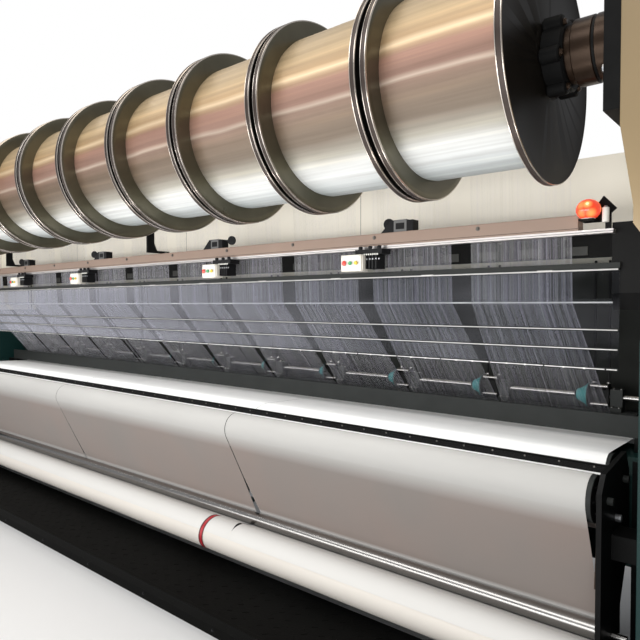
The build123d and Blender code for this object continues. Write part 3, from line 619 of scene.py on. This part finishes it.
# Rocker shaft with its cones
shaft_y = middle("rocker_shaft", Y)
shaft_z = middle("rocker_shaft", Z)
parts = [rod_along_x(low("rocker_shaft", X), high("rocker_shaft", X), shaft_y, shaft_z, 0.014, 40)]
put("rocker_tube", parts, [chrome], "rocker", ["rocker_shaft"])
cone = [(-0.164, 0.016), (-0.164, 0.024), (-0.160, 0.028), (-0.150, 0.030), (-0.120, 0.050), (-0.116, 0.056),
        (-0.112, 0.058), (-0.104, 0.058), (-0.102, 0.054), (-0.102, 0.016)]
cone_ring = [(-0.172, 0.0150), (-0.172, 0.020), (-0.165, 0.020), (-0.165, 0.0150)]
parts = []
for gap_x in beam_gaps:
    parts.append(lathe(on_side(cone, 1, gap_x), shaft_y, shaft_z, 48, [0, 0, 0, 0, 0, 0, 1, 1, 1]))
    parts.append(lathe(on_side(cone_ring, 1, gap_x), shaft_y, shaft_z, 32, 1))
put("teal_cones", parts, [teal, black_plastic], "rocker", ["shaft_cones"])

# Clamps and hangers: plates, pins and fixing screws
plate = [(-0.006, 1.100), (0.046, 1.100), (0.046, 1.176), (0.034, 1.196), (0.004, 1.196), (-0.006, 1.176)]
parts = []
for gap_x in beam_gaps:
    for plate_x in (-0.098, -0.034):
        parts.append(prism(plate, gap_x + plate_x, gap_x + plate_x + 0.010))
    for pin_z in (1.104, 1.186):
        parts.append(rod_along_x(gap_x - 0.100, gap_x - 0.024, -0.010, pin_z, 0.0085, 16, 1))
    parts += bolts((gap_x - 0.090, gap_x - 0.030), [0.020], [1.196], (0, 0, 1), 0.009, 1)
put("hanger_details", parts, [black_metal, chrome], "frame", edge=0.0012)
parts = []
for gap_x in beam_gaps:
    for screw_y, screw_z in ((-0.012, 1.0955), (0.020, 1.174)):
        parts += bolts((gap_x - 0.008, gap_x + 0.022), [screw_y], [screw_z], (0, 0, 1), 0.0055)
put("clamp_screws", parts, [chrome], "rocker")


# Combs of guides, needles and sinkers
def comb(thick, y0, y1, z0, z1):
    """Thin upright blades at an even pitch."""
    comb_half = 2.905
    pitch = 0.0051
    base, sides, numbers = block(0, thick, y0, y1, z0, z1)
    places = np.arange(-comb_half, comb_half - thick, pitch)
    corners = (base[None] + np.stack([places, 0 * places, 0 * places], 1)[:, None]).reshape(-1, 3)
    return repeated(base, sides, corners, len(places))


for name in ("front", "middle", "back"):
    bar_y = middle("guide_bar_" + name, Y)
    bottom_z = low("guide_bar_" + name, Z)
    # The middle guides stay short, so that the needles clear them at their highest
    reach = 0.0004 if name == "middle" else 0.012
    guides = comb(0.0012, bar_y - 0.004, bar_y + 0.004, bottom_z - reach, bottom_z + 0.003)
    put(name + "_guides", [guides], [steel], name + "_guide_bar", sharp=10)
bar_y = middle("needle_bar", Y)
bar_top = high("needle_bar", Z)
needles = comb(0.0014, bar_y - 0.003, bar_y + 0.002, bar_top - 0.004, bar_top + 0.0004)
put("needles", [needles], [steel], "needle_bar", sharp=10)
sinker_back = high("sinker_bar", Y)
sinkers = comb(0.0012, sinker_back - 0.004, sinker_back + 0.006, 1.000, 1.012)
put("sinkers", [sinkers], [steel], "sinker_bar", sharp=10)


# Cloth: three webs drawn round the rollers, with the slits between them
def tangent(start, start_radius, start_side, end, end_radius, end_side):
    """End points of the straight cloth between two rollers.

    A side is 1 where the roller lies to the right of the cloth's travel, and -1 where it lies to the left.
    """
    run_y = end[0] - start[0]
    run_z = end[1] - start[1]
    run = hypot(run_y, run_z)
    along = (start_side * start_radius - end_side * end_radius) / run
    across = sqrt(1 - along * along)
    normal_y = (run_y * along - run_z * across) / run
    normal_z = (run_z * along + run_y * across) / run
    leave = (start[0] + start_side * start_radius * normal_y, start[1] + start_side * start_radius * normal_z)
    meet = (end[0] + end_side * end_radius * normal_y, end[1] + end_side * end_radius * normal_z)
    return leave, meet


def roller_circle(node, radius, side):
    cloth_lift = 0.0012
    return (middle(node, Y), middle(node, Z)), radius + cloth_lift, side


# Stages along the path: 0 at the needles, 0.5 to 1 on the first roller, up to 4.5 to 5 on the cloth roll
cloth_turns = [
    roller_circle("upper_roller", 0.090, -1),
    roller_circle("middle_roller", 0.052, 1),
    roller_circle("lower_roller", 0.085, -1),
    roller_circle("chrome_roller", 0.036, 1),
    roller_circle("cloth_roll", 0.092, -1),
]
drop_y = -0.0085
cloth_points = [(drop_y, 1.009, 0.0)]
turn_start = ((drop_y, 0.968), 0, -1)
meet_point = None
for index, turn_end in enumerate(cloth_turns + [None]):
    (centre_y, centre_z), radius, side = turn_start
    if turn_end is None:
        leave_point = (centre_y - radius * 0.92, centre_z + radius * 0.39)
    else:
        leave_point, next_meet = tangent(*turn_start, *turn_end)
    if meet_point:
        first = atan2(meet_point[1] - centre_z, meet_point[0] - centre_y)
        last = atan2(leave_point[1] - centre_z, leave_point[0] - centre_y)
        turn = ((last - first) * -side) % (2 * pi)
        steps = max(2, ceil(turn / radians(9)))
        for step in range(steps + 1):
            angle = first - side * turn * step / steps
            stage = index - 0.5 + 0.5 * step / steps
            cloth_points.append((centre_y + radius * cos(angle), centre_z + radius * sin(angle), stage))
    else:
        cloth_points.append((*leave_point, 0.1))
    if turn_end is not None:
        for share in (0.25, 0.5, 0.75):
            path_y = leave_point[0] + (next_meet[0] - leave_point[0]) * share
            path_z = leave_point[1] + (next_meet[1] - leave_point[1]) * share
            cloth_points.append((path_y, path_z, index + 0.5 * share))
        meet_point = next_meet
        turn_start = turn_end
cloth_points.sort(key=lambda point: point[2])
stages = np.array([point[2] for point in cloth_points])


def along_cloth(*points):
    """Values at the cloth's stages, drawn through (stage, value) points."""
    return np.interp(stages, [stage for stage, value in points], [value for stage, value in points])


slit_1 = along_cloth((0.5, 1.067), (1.0, 0.969), (2.6, 1.005), (3.0, 1.028), (3.25, 1.056), (3.5, 1.088),
                     (4.0, 1.086), (4.5, 1.100), (4.8, 1.110))
gap_1 = along_cloth((0.0, 0.003), (3.0, 0.005), (3.26, 0.007), (3.5, 0.036), (4.0, 0.034), (4.5, 0.026),
                    (4.65, 0.020), (4.8, 0.002))
slit_2 = along_cloth((0.0, -0.850), (3.0, -0.880), (3.5, -0.795), (4.5, -0.790))
gap_2 = along_cloth((0.0, 0.002), (3.2, 0.004), (3.5, 0.012), (4.5, 0.010), (4.8, 0.002))
edge_wave = 0.003 * np.sin(stages * 5.0)
web_edges = [
    (np.full(len(stages), -cloth_half + 0.004) + edge_wave, slit_2 - gap_2 / 2),
    (slit_2 + gap_2 / 2, slit_1 - gap_1 / 2),
    (slit_1 + gap_1 / 2, np.full(len(stages), cloth_half - 0.004) - edge_wave),
]
columns = 60
for number, (web_left, web_right) in enumerate(web_edges, 1):
    vertices = []
    for row, (path_y, path_z, stage) in enumerate(cloth_points):
        before = cloth_points[max(0, row - 1)]
        after = cloth_points[min(len(cloth_points) - 1, row + 1)]
        run = hypot(after[0] - before[0], after[1] - before[1])
        out_y = -(after[1] - before[1]) / run
        out_z = (after[0] - before[0]) / run
        free = sin(2 * pi * (stage - 3.0)) if 3.0 < stage < 3.5 else 0.0
        for column in range(columns + 1):
            x = web_left[row] + (web_right[row] - web_left[row]) * column / columns
            wave = free * 0.0022 * (sin(x * 4.1 + number) + 0.6 * sin(x * 9.7 + 2 * number))
            vertices.append((x, path_y + wave * out_y, path_z + wave * out_z))
    faces = []
    for row in range(len(cloth_points) - 1):
        for column in range(columns):
            a = row * (columns + 1) + column
            faces.append((a, a + 1, a + columns + 2, a + columns + 1))
    stands_for = ["cloth_webs"] if number == 1 else []
    web_part = (np.array(vertices), faces, [0] * len(faces))
    web = put(f"cloth_web_{number}", [web_part], [cloth], "frame", stands_for, sharp=180)

# Cloth roll: the groove where the slit ends, a ribbon round it, and its end faces
roll_y = middle("cloth_roll", Y)
roll_z = middle("cloth_roll", Z)
groove_x = 1.098
roll_places = np.concatenate([np.linspace(-cloth_half, 1.07, 60), np.linspace(1.078, 1.122, 12),
                              np.linspace(1.13, cloth_half, 26)])
segments = 96
angles = np.arange(segments) * 2 * pi / segments
rings = []
for x in roll_places:
    radii = 0.0912 + 0.0005 * sin(x * 7) + 0.0003 * np.sin(3 * angles + 2 * x)
    near = np.exp(-((x - groove_x) / 0.0125) ** 4)
    along_slit = np.clip(1 - np.abs(np.degrees(angles) - 98) / 26, 0, 1) ** 0.4
    radii = radii - 0.022 * near * along_slit
    ring_y = roll_y + radii * np.cos(angles)
    ring_z = roll_z + radii * np.sin(angles)
    rings.append(np.stack([np.full(segments, x), ring_y, ring_z], 1))
# Faces inside the groove get the near-black finish: painted shade in the gap between the rolled webs.
in_groove = [1.079 < x < 1.114 and 70 < np.degrees(angle) < 124 for x in roll_places[:-1] for angle in angles]
numbers = [int(inside) for inside in in_groove] + [0, 0]
roll = (np.concatenate(rings), ring_faces(len(rings), segments), numbers)
put("rolled_cloth", [roll], [rolled, groove_shade_black], "cloth_winder", ["cloth_roll"], sharp=60)
parts = []
for side in (-1, 1):
    for ring in range(7):
        radius = 0.088 - 0.0085 * ring
        face_x = cloth_half + 0.0012 - 0.0004 * (ring % 2)
        inner_x = cloth_half - 0.001
        layer = [(inner_x, radius), (face_x, radius), (face_x, radius - 0.0055), (inner_x, radius - 0.0055)]
        parts.append(lathe(on_side(layer, side), roll_y, roll_z, 64))
put("roll_end_layers", parts, [rolled], "cloth_winder")


def ribbon_strip(x0, x1, number):
    """Part of the ribbon's width, wound a little askew round the roll."""
    ribbon_x = 0.898
    ribbon_radius = 0.0937
    corners = []
    faces = []
    for step, angle in enumerate(angles):
        centre_x = ribbon_x + 0.006 * sin(angle + 0.6)
        ring_y = roll_y + ribbon_radius * cos(angle)
        ring_z = roll_z + ribbon_radius * sin(angle)
        corners += [(centre_x + x, ring_y, ring_z) for x in (x0, x1)]
        following = 2 * ((step + 1) % segments)
        faces.append((2 * step, 2 * step + 1, following + 1, following))
    return np.array(corners), faces, [number] * len(faces)


parts = [ribbon_strip(-0.019, -0.010, 1), ribbon_strip(-0.010, 0.008, 0), ribbon_strip(0.008, 0.015, 1)]
put("red_ribbon", parts, [ribbon_red, ribbon_dark], "cloth_winder", sharp=180)

# Rollers: turned ends with screws, and the chrome roller
for node, radius in (("upper_roller", 0.090), ("lower_roller", 0.085), ("middle_roller", 0.052)):
    roller_y = middle(node, Y)
    roller_z = middle(node, Z)
    face_x = 2.9155
    shape = [(2.906, radius - 0.001), (2.916, radius - 0.002), (2.917, radius - 0.010),
             (face_x, radius - 0.012), (face_x, 0.030), (2.925, 0.028), (2.925, 0.016)]
    parts = []
    for side in (-1, 1):
        parts.append(lathe(on_side(shape, side), roller_y, roller_z, 64))
        for index in range(6):
            screw_y = roller_y + radius * 0.62 * cos(radians(60 * index))
            screw_z = roller_z + radius * 0.62 * sin(radians(60 * index))
            parts += bolt((side * face_x, screw_y, screw_z), (side, 0, 0), 0.005)
    put(node + "_ends", parts, [black_metal], node)
shape = [(-3.0, 0.0138), (-2.915, 0.0138), (-2.915, 0.033), (-2.912, 0.0355), (2.912, 0.0355), (2.915, 0.033),
         (2.915, 0.0138), (3.0, 0.0138)]
parts = [lathe(shape, middle("chrome_roller", Y), middle("chrome_roller", Z), 64)]
put("chrome_tube", parts, [chrome], "chrome_roller", ["chrome_roller"])

# Black bar between the rollers: fine lengthwise lines and small screws
bar_front = low("grooved_bar", Y)
bar_low = low("grooved_bar", Z)
bar_half = high("grooved_bar", X)
parts = []
for line in range(4):
    line_z = bar_low + extent("grooved_bar", Z) * (line + 0.7) / 4.6
    parts.append(block(-bar_half, bar_half, bar_front - 0.0012, bar_front + 0.001,
                       line_z - 0.0012, line_z + 0.0012, 0))
screw_z = bar_low + 0.019
for screw in range(46):
    screw_x = -bar_half + 0.06 + screw * 0.128 + 0.012 * random.random()
    parts.append(rod_along_y(bar_front + 0.001, bar_front - 0.0035, screw_x, screw_z, 0.0035, 10, 1))
put("bar_lines", parts, [black_metal, dim_steel], "frame")

# Rail: fixing screws on its face, a darker line near its bottom, and the grooved bright bar below
rail_front = low("front_rail", Y)
rail_top = high("front_rail", Z)
rail_low = low("front_rail", Z)
rail_half = high("front_rail", X)
beam_step = 0.5131
parts = [block(-rail_half, rail_half, rail_front - 0.0006, rail_front + 0.001,
               rail_low + 0.007, rail_low + 0.0085, 1)]
parts += bolts(np.arange(-2.70, 2.8, beam_step), [rail_front], [rail_top - 0.018], (0, -1, 0), 0.0065)
put("rail_screws", parts, [dim_steel, black_plastic], "frame", sharp=30)
bar_y = low("bright_bar", Y)
bar_z = low("bright_bar", Z)
bar_half = high("bright_bar", X)
parts = []
for depth, line_low, line_high, number in ((0.0008, 0.0062, 0.0076, 0), (0.0025, 0.0001, 0.0022, 1),
                                           (0.0025, 0.0128, 0.0149, 1)):
    parts.append(block(-bar_half, bar_half, bar_y - depth, bar_y + 0.001,
                       bar_z + line_low, bar_z + line_high, number))
put("bright_bar_edges", parts, [black_plastic, bright], "frame")

# Operator boxes with a lid, a raised rim, screws and round button collars
box_places = [1.826, 0.800, -0.740, -1.766]
box_front = low("operator_boxes", Y)
box_back = -0.5622
box_low = low("operator_boxes", Z)
box_high = high("operator_boxes", Z)
button_z = middle("red_button_1", Z)
parts = []
trim = []
for box_x in box_places:
    # Each row: half width, front and back behind the box's front, gap to its top and bottom, and material
    for half, start, end, gap, number in ((0.059, 0.012, box_back - box_front, 0, 0),
                                          (0.0585, 0.0005, 0.0105, 0.0005, 0),
                                          (0.0565, 0.009, 0.014, 0.002, 1)):
        parts.append(block(box_x - half, box_x + half, box_front + start, box_front + end,
                           box_low + gap, box_high - gap, number))
    parts.append(block(box_x + 0.059, box_x + 0.064, box_front + 0.006, box_front + 0.034,
                       box_low + 0.006, box_high - 0.006, 0))
    for screw_x in (box_x - 0.051, box_x + 0.051):
        for screw_z in (box_low + 0.008, box_high - 0.008):
            trim.append(rod_along_y(box_front + 0.001, box_front - 0.0012, screw_x, screw_z, 0.0028, 12, 0))
    for button_x, radius in ((-0.034, 0.0125), (0, 0.0105), (0.034, 0.0105)):
        collar = [(0, radius + 0.002), (0.0016, radius + 0.002), (0.0026, radius + 0.0008),
                  (0.0026, radius - 0.004)]
        trim.append(turned(collar, (box_x + button_x, box_front + 0.0004, button_z), (0, -1, 0), 32, 1))
put("box_shells", parts, [box_paint, black_plastic], "frame", ["operator_boxes"], edge=0.003)
put("box_screws_and_collars", trim, [steel, white_plastic], "frame")
for colour_name, plastic, radius in (("red", red_plastic, 0.012), ("green", green_plastic, 0.009),
                                     ("yellow", yellow_plastic, 0.009)):
    stem = 0.0045
    if colour_name == "red":
        cap = [(0, stem), (0.010, stem), (0.010, radius * 0.8), (0.0125, radius), (0.0150, radius),
               (0.0166, radius * 0.86), (0.0170, radius * 0.55)]
    else:
        cap = [(0, stem), (0.009, stem), (0.009, radius), (0.0155, radius), (0.0168, radius * 0.86),
               (0.0166, radius * 0.6), (0.0158, radius * 0.5)]
    for number in range(1, 5):
        node = f"{colour_name}_button_{number}"
        place = (middle(node, X), low(node, Y) + 0.017, middle(node, Z))
        put(f"{colour_name}_cap_{number}", [turned(cap, place, (0, -1, 0), 32)], [plastic], node,
            [node])

# Clamps beside the boxes: knobs, screws and a row of small white beads
knob = [(0, 0.009), (0.004, 0.010), (0.012, 0.010), (0.015, 0.007)]
bead = [(0, 0.002), (0.002, 0.0045), (0.005, 0.0045), (0.007, 0.002)]
parts = []
for box_x in box_places:
    for knob_x in (0.030, 0.085, 0.135):
        parts.append(turned(knob, (box_x + knob_x, -0.585, 1.808), (0, 0, 1), 18, 0))
    parts += bolts(box_x + 0.072 + 0.017 * np.arange(5), [-0.5945], [1.762], (0, -1, 0), 0.0032, 1)
    for index in range(7):
        parts.append(turned(bead, (box_x + 0.058 + 0.012 * index, -0.590, 1.7835), (0, -1, 0), 12, 2))
put("clamp_trim", parts, [black_plastic, steel, white_plastic], "frame")

# Sensor units on the rail: wedge, grey box, end block and a head on an arm
back_y, front_y, arm_y = -0.508, -0.556, -0.532
disc = [(0, 0.006), (0.002, 0.0235), (0.004, 0.0255), (0.012, 0.0255), (0.014, 0.0235), (0.0145, 0.010)]
parts = []
# Each row: the unit's place, then its head, the start of its arm and that start's height, from the unit
for sensor_x, head_x, arm_x, arm_z in ((2.035, -0.058, -0.020, 0.046), (0.758, 0.140, 0.080, 0.046),
                                       (-0.490, -0.120, -0.070, 0.018), (-1.690, -0.120, -0.070, 0.018)):
    wedge = [(-0.086, 0), (-0.016, 0), (-0.016, 0.054), (-0.030, 0.054)]
    corners = [(sensor_x + x, y, rail_top + z) for y in (front_y, back_y) for x, z in wedge]
    sides = [(0, 1, 2, 3), (7, 6, 5, 4), (0, 4, 5, 1), (1, 5, 6, 2), (2, 6, 7, 3), (3, 7, 4, 0)]
    parts.append((np.array(corners), sides, [0] * 6))
    for x0, x1, y0, y1, z0, z1, number in (
        (-0.016, 0.052, front_y + 0.001, back_y - 0.001, 0, 0.055, 1),
        (0.052, 0.086, front_y, back_y, 0, 0.050, 0),
        (-0.004, 0.040, front_y - 0.0015, front_y + 0.002, 0.012, 0.040, 0),
    ):
        parts.append(block(sensor_x + x0, sensor_x + x1, y0, y1, rail_top + z0, rail_top + z1, number))
    arm_start = (sensor_x + arm_x, arm_y, rail_top + arm_z)
    parts.append(rod(arm_start, (sensor_x + head_x, arm_y, rail_top + 0.042), 0.004, 12, 0))
    parts.append(turned(disc, (sensor_x + head_x, arm_y + 0.007, rail_top + 0.042), (0.35, -1, 0.0), 32, 0))
put("sensor_details", parts, [black_plastic, grey_plastic], "frame", ["sensor_units"],
    edge=0.002)

# Beacon: ribbed cover on a white seat, and the post beside it
lamp_x = middle("lamp_globe", X)
lamp_y = middle("lamp_globe", Y)
lamp_low = low("lamp_globe", Z)
lamp_radius = extent("lamp_globe", X) / 2 - 0.0005
cover = []
for step in range(19):
    turn = radians(-62 + step * 152 / 18)
    ribs = 0.0010 if step % 2 else 0
    height = extent("lamp_globe", Z) / 2 + 0.0385 * sin(turn) - 0.0005
    cover.append((height, max(0.003, lamp_radius * cos(turn) - ribs)))
parts = [turned(cover, (lamp_x, lamp_y, lamp_low), (0, 0, 1), 48, 0)]
put("beacon_cover", parts, [lamp_cover], "frame", ["lamp_globe"], sharp=60)
post_x, post_y = lamp_x + 0.056, lamp_y + 0.010
seat = [(0, 0.020), (0.002, 0.024), (0.010, 0.024), (0.012, 0.020)]
post = [(0, 0.012), (0.050, 0.012), (0.052, 0.010)]
parts = [turned(seat, (lamp_x, lamp_y, lamp_low - 0.006), (0, 0, 1), 32, 0),
         turned(post, (post_x, post_y, lamp_low - 0.012), (0, 0, 1), 24, 0)]
parts += bolt((post_x, post_y, lamp_low + 0.040), (0, 0, 1), 0.006, 1)
put("beacon_seat", parts, [white_plastic, steel], "frame")

# Guard screens: clips along the lower bar, hinges along the upper one, screws, and a bright line on each bar
middle_bars = (1.464, 1.393)
for number, body in ((1, "left_guard"), (2, "right_guard")):
    node = f"guard_bars_{number}"
    start_x = low(node, X) + 0.03
    end_x = high(node, X) - 0.03
    clip_low = low(node, Z)
    clip_top = high(node, Z)
    clip_y = low(node, Y)
    parts = []
    for index, x in enumerate(np.arange(start_x, end_x, 0.074)):
        parts.append(block(x - 0.003, x + 0.003, clip_y - 0.003, clip_y + 0.002,
                           clip_low + 0.001, clip_low + 0.008, 0 if index % 3 == 0 else 1))
    for x in np.arange(start_x + 0.1, end_x, beam_step):
        parts.append(rod_along_x(x - 0.03, x + 0.03, clip_y - 0.002, clip_top - 0.004, 0.0045, 14, 1))
    for bar_top in middle_bars:
        for x in np.arange(start_x + 0.12, end_x, beam_step / 2):
            parts.append(rod_along_y(clip_y + 0.001, clip_y - 0.0018, x, bar_top - 0.005, 0.0028, 10, 1))
    for bar_top, radius in ((clip_top, 0.0034), (middle_bars[0], 0.0021), (middle_bars[1], 0.0021),
                            (clip_low + 0.010, 0.0021)):
        parts.append(rod_along_x(low(node, X) + 0.002, high(node, X) - 0.002, clip_y - 0.0005,
                                 bar_top - 0.005, radius, 10, 1))
    put(f"guard_clips_{number}", parts, [black_plastic, guard_metal], body, edge=0.0006)

# Bearing blocks: cap screws, and the ring round the shaft
parts = []
bearing_y = middle("bearing_blocks", Y)
bearing_top = high("bearing_blocks", Z)
ring = [(3.0158, 0.118), (3.0105, 0.118), (3.0105, 0.106)]
for side in (-1, 1):
    parts += bolts([side * 3.0164], (bearing_y - 0.125, bearing_y + 0.125), (2.25, 2.48),
                   (-side, 0, 0), 0.012, 1)
    parts.append(lathe(on_side(ring, side), beam_axis_y, beam_axis_z, 64, 0))
    parts += bolts([side * 3.030], (bearing_y - 0.10, bearing_y + 0.10), [bearing_top], (0, 0, 1), 0.011, 1)
put("bearing_screws", parts, [black_metal, steel], "frame", edge=0.0008)

# Dark skirt over the crossbeam's lower front, standing both for a dark mechanism there and for painted shade
# under the rail, with black blocks on it that stand for openings as painted shade, and screws of the skirt,
# the hanger posts and the rear cover
cross_front = low("crossbeam", Y)
cross_low = low("crossbeam", Z)
skirt = [block(-3.10, 3.10, cross_front - 0.006, cross_front + 0.001, cross_low, rail_level, 1)]
for x in np.arange(-2.9, 3.0, 0.2):
    skirt.append(block(x - 0.05, x + 0.05, cross_front - 0.010, cross_front - 0.004,
                       cross_low + 0.012, 1.80, 0))
put("crossbeam_skirt", skirt, [dark_skirt_and_shade, black_metal], "frame", edge=0.001)
parts = []
for post_x in (0.25655, -1.79585):
    parts += bolts((post_x - 0.018, post_x + 0.018), [-0.535], [rail_top + 0.004], (0, 0, 1), 0.006)
parts += bolts(np.arange(-2.95, 3.0, 0.2950), [cross_front - 0.006], [cross_low + 0.092], (0, -1, 0), 0.007)
parts += bolts(np.arange(-2.9, 3.0, 0.58), [high("rear_cover", Y)], (0.97, 1.34, 1.71), (0, 1, 0), 0.006)
put("panel_screws", parts, [dim_steel], "frame", sharp=30)

# Side plates: roller bearings, screws and small covers on the inner faces
bearings = (("upper_roller", 0.034), ("lower_roller", 0.034), ("middle_roller", 0.026),
            ("chrome_roller", 0.026), ("cloth_tube", 0.030))
plate_screws = ((-0.470, 0.955), (-0.430, 0.935), (-0.610, 0.780), (-0.560, 0.720), (-0.640, 0.640),
                (-0.420, 0.640), (-0.640, 0.50), (-0.450, 0.48), (-0.640, 0.22), (-0.460, 0.16))
blade = [(-0.675, 0.560), (-0.640, 0.560), (-0.625, 0.640), (-0.625, 0.720), (-0.640, 0.790), (-0.660, 0.700)]
plate_face = 2.9318
parts = []
for side in (-1, 1):
    for node, radius in bearings:
        shape = [(0, radius), (-0.004, radius), (-0.006, radius - 0.004), (-0.006, 0.0145)]
        parts.append(lathe(on_side(shape, side, plate_face), middle(node, Y), middle(node, Z), 40, 0))
    for screw_y, screw_z in plate_screws:
        parts += bolt((side * plate_face, screw_y, screw_z), (-side, 0, 0), 0.0085, 1)
    left, right = sorted((side * plate_face, side * (plate_face - 0.006)))
    parts.append(block(left, right, -0.560, -0.505, 0.655, 0.700, 0))
    left, right = sorted((side * plate_face, side * (plate_face - 0.008)))
    parts.append(prism(blade, left, right, 2))
put("side_plate_fittings", parts, [black_metal, dim_steel, hub_steel], "frame", edge=0.001)

# Closing plates between the side plates and the end housings
parts = []
for side in (-1, 1):
    left, right = sorted((side * 2.952, side * 3.103))
    parts.append(block(left, right, -0.262, -0.254, 0.130, 0.928))
    parts += bolts([(left + right) / 2], [-0.262], (0.20, 0.52, 0.86), (0, -1, 0), 0.007)
put("closing_plates", parts, [black_metal], "frame", edge=0.001)

# End housings: doors with handles, hinges and vents, and feet
parts = []
front_y = low("end_housings", Y)
for side in (-1, 1):
    left, right = sorted((side * 3.105, side * 3.655))
    left, right = left + 0.05, right - 0.07
    parts.append(block(left, right, front_y - 0.006, front_y + 0.001, 0.20, 1.34, 0))
    parts.append(block(right - 0.075, right - 0.050, front_y - 0.024, front_y - 0.004, 0.72, 0.90, 1))
    for hinge_z in (0.32, 1.20):
        hinge = (left + 0.006, front_y - 0.011)
        parts.append(rod((*hinge, hinge_z), (*hinge, hinge_z + 0.07), 0.007, 16, 1))
    for foot_y in (-0.80, 0.16, 1.12):
        for foot_x in (left + 0.02, right - 0.02):
            parts.append(rod((foot_x, foot_y, 0.0), (foot_x, foot_y, 0.012), 0.035, 24, 1))
    for slot in range(9):
        slot_z = 0.30 + 0.022 * slot
        parts.append(block(left + 0.10, right - 0.10, front_y - 0.0085, front_y - 0.005,
                           slot_z, slot_z + 0.008, 1))
put("housing_doors", parts, [green, black_metal], "frame", edge=0.003)

# Platform: edge strip, raised bars on its tread and screws of its front
front_y = low("platform", Y)
top_z = high("platform", Z)
half = high("platform", X)
parts = [block(-half + 0.001, half - 0.001, front_y - 0.0015, front_y + 0.020,
               top_z - 0.010, top_z + 0.0015, 0)]
base, sides, numbers = block(-0.014, 0.014, -0.002, 0.002, top_z - 0.0005, top_z + 0.0016)
bars = []
for row in range(11):
    for column in range(int(2 * half / 0.10) - 1):
        slant = 1 if (row + column) % 2 else -1
        place = np.array([-half + 0.09 + 0.10 * column + 0.03 * (row % 2), front_y + 0.05 + 0.036 * row, 0])
        bar_x = 0.707 * (base[:, 0] - base[:, 1] * slant)
        bar_y = 0.707 * (base[:, 0] * slant + base[:, 1])
        bars.append(np.stack([bar_x, bar_y, base[:, 2]], 1) + place)
parts.append(repeated(base, sides, np.concatenate(bars), len(bars)))
parts += bolts(np.arange(-half + 0.1, half, 0.55), [front_y], [0.055], (0, -1, 0), 0.006, 1)
put("platform_tread", parts, [tread, black_plastic], "frame", sharp=30)

# Machine bed: service panels and screws on its long sides
parts = []
for bed_y, way in ((low("machine_bed", Y), -1), (high("machine_bed", Y), 1)):
    panel_y = bed_y + way * 0.004
    least_y, most_y = sorted((bed_y, panel_y))
    for panel_x in np.arange(-2.4, 2.5, 1.2):
        parts.append(block(panel_x - 0.52, panel_x + 0.52, least_y, most_y, 0.56, 0.87, 0))
        parts += bolts((panel_x - 0.48, panel_x + 0.48), [panel_y], (0.59, 0.84), (0, way, 0), 0.006, 1)
put("bed_panels", parts, [green, steel], "frame", edge=0.001)

# Camera
camera_data = bpy.data.cameras.new("camera")
camera_data.lens = 33.55
camera_data.sensor_width = 36
camera_data.clip_end = 100
camera = bpy.data.objects.new("camera", camera_data)
camera.location = (3.505, -2.862, 1.550)
camera.rotation_euler = (radians(88.55), 0, radians(39.8))
bpy.context.scene.collection.objects.link(camera)
bpy.context.scene.camera = camera

# World: white where the camera sees it, and softer as a light
world = bpy.data.worlds.new("world")
bpy.context.scene.world = world
surroundings = NodeTree(world)
camera_ray = surroundings.node("ShaderNodeLightPath").outputs["Is Camera Ray"]
as_light = surroundings.node("ShaderNodeBackground", {0: (0.96, 0.97, 1.0), 1: 0.42}).outputs[0]
as_seen = surroundings.node("ShaderNodeBackground", {0: (1, 1, 1), 1: 1.0}).outputs[0]
world_mix = surroundings.node("ShaderNodeMixShader", {0: camera_ray, 1: as_light, 2: as_seen})
surroundings.node("ShaderNodeOutputWorld", {0: world_mix.outputs[0]})


def area_light(name, place, aim, size, power, colour):
    """A rectangular light that shines one way, from its place towards aim."""
    data = bpy.data.lights.new(name, "AREA")
    data.shape = "RECTANGLE"
    data.size, data.size_y = size
    data.energy = power
    data.color = colour
    lamp = bpy.data.objects.new(name, data)
    lamp.location = place
    across, inward, up = np.array(aim) - np.array(place)
    lamp.rotation_euler = (atan2(hypot(across, inward), -up), 0, atan2(inward, across) - pi / 2)
    bpy.context.scene.collection.objects.link(lamp)


area_light("key_light", (0.5, -4.4, 5.7), (0, -0.5, 1.1), (8, 1.8), 185, (1.0, 0.99, 0.97))
area_light("overhead_light", (0, -1.2, 5.4), (0, -0.8, 2.4), (8, 1.0), 60, (1.0, 0.90, 0.76))
area_light("front_light", (0.5, -4.4, 1.40), (0, -0.2, 2.0), (8, 0.5), 80, (1.0, 0.99, 0.96))
area_light("upper_roller_light", (0.2, -0.70, 1.20), (0.2, -0.36, 0.97), (6.2, 0.05), 6.5, (1.0, 1.0, 0.99))
area_light("panel_light", (0.0, -1.22, 1.74), (0.0, -0.10, 2.02), (6.2, 0.05), 11.0, (1.0, 0.98, 0.95))
area_light("low_light", (0.5, -3.9, 0.7), (0, -0.3, 2.05), (8, 0.7), 50, (0.97, 0.99, 1.0))

# Studio floor
floor_material = paint("studio_floor", (0.80, 0.80, 0.80), 0.75, 0, 0.01, 0.5)
floor_half = 40
floor_corners = [(-floor_half, -floor_half, -0.001), (floor_half, -floor_half, -0.001),
                 (floor_half, floor_half, -0.001), (-floor_half, floor_half, -0.001)]
floor_mesh = bpy.data.meshes.new("studio_floor")
floor_mesh.from_pydata(floor_corners, [], [(0, 1, 2, 3)])
floor_mesh.materials.append(floor_material)
floor = bpy.data.objects.new("studio_floor", floor_mesh)
bpy.context.scene.collection.objects.link(floor)
bpy.context.scene.view_settings.view_transform = "Standard"
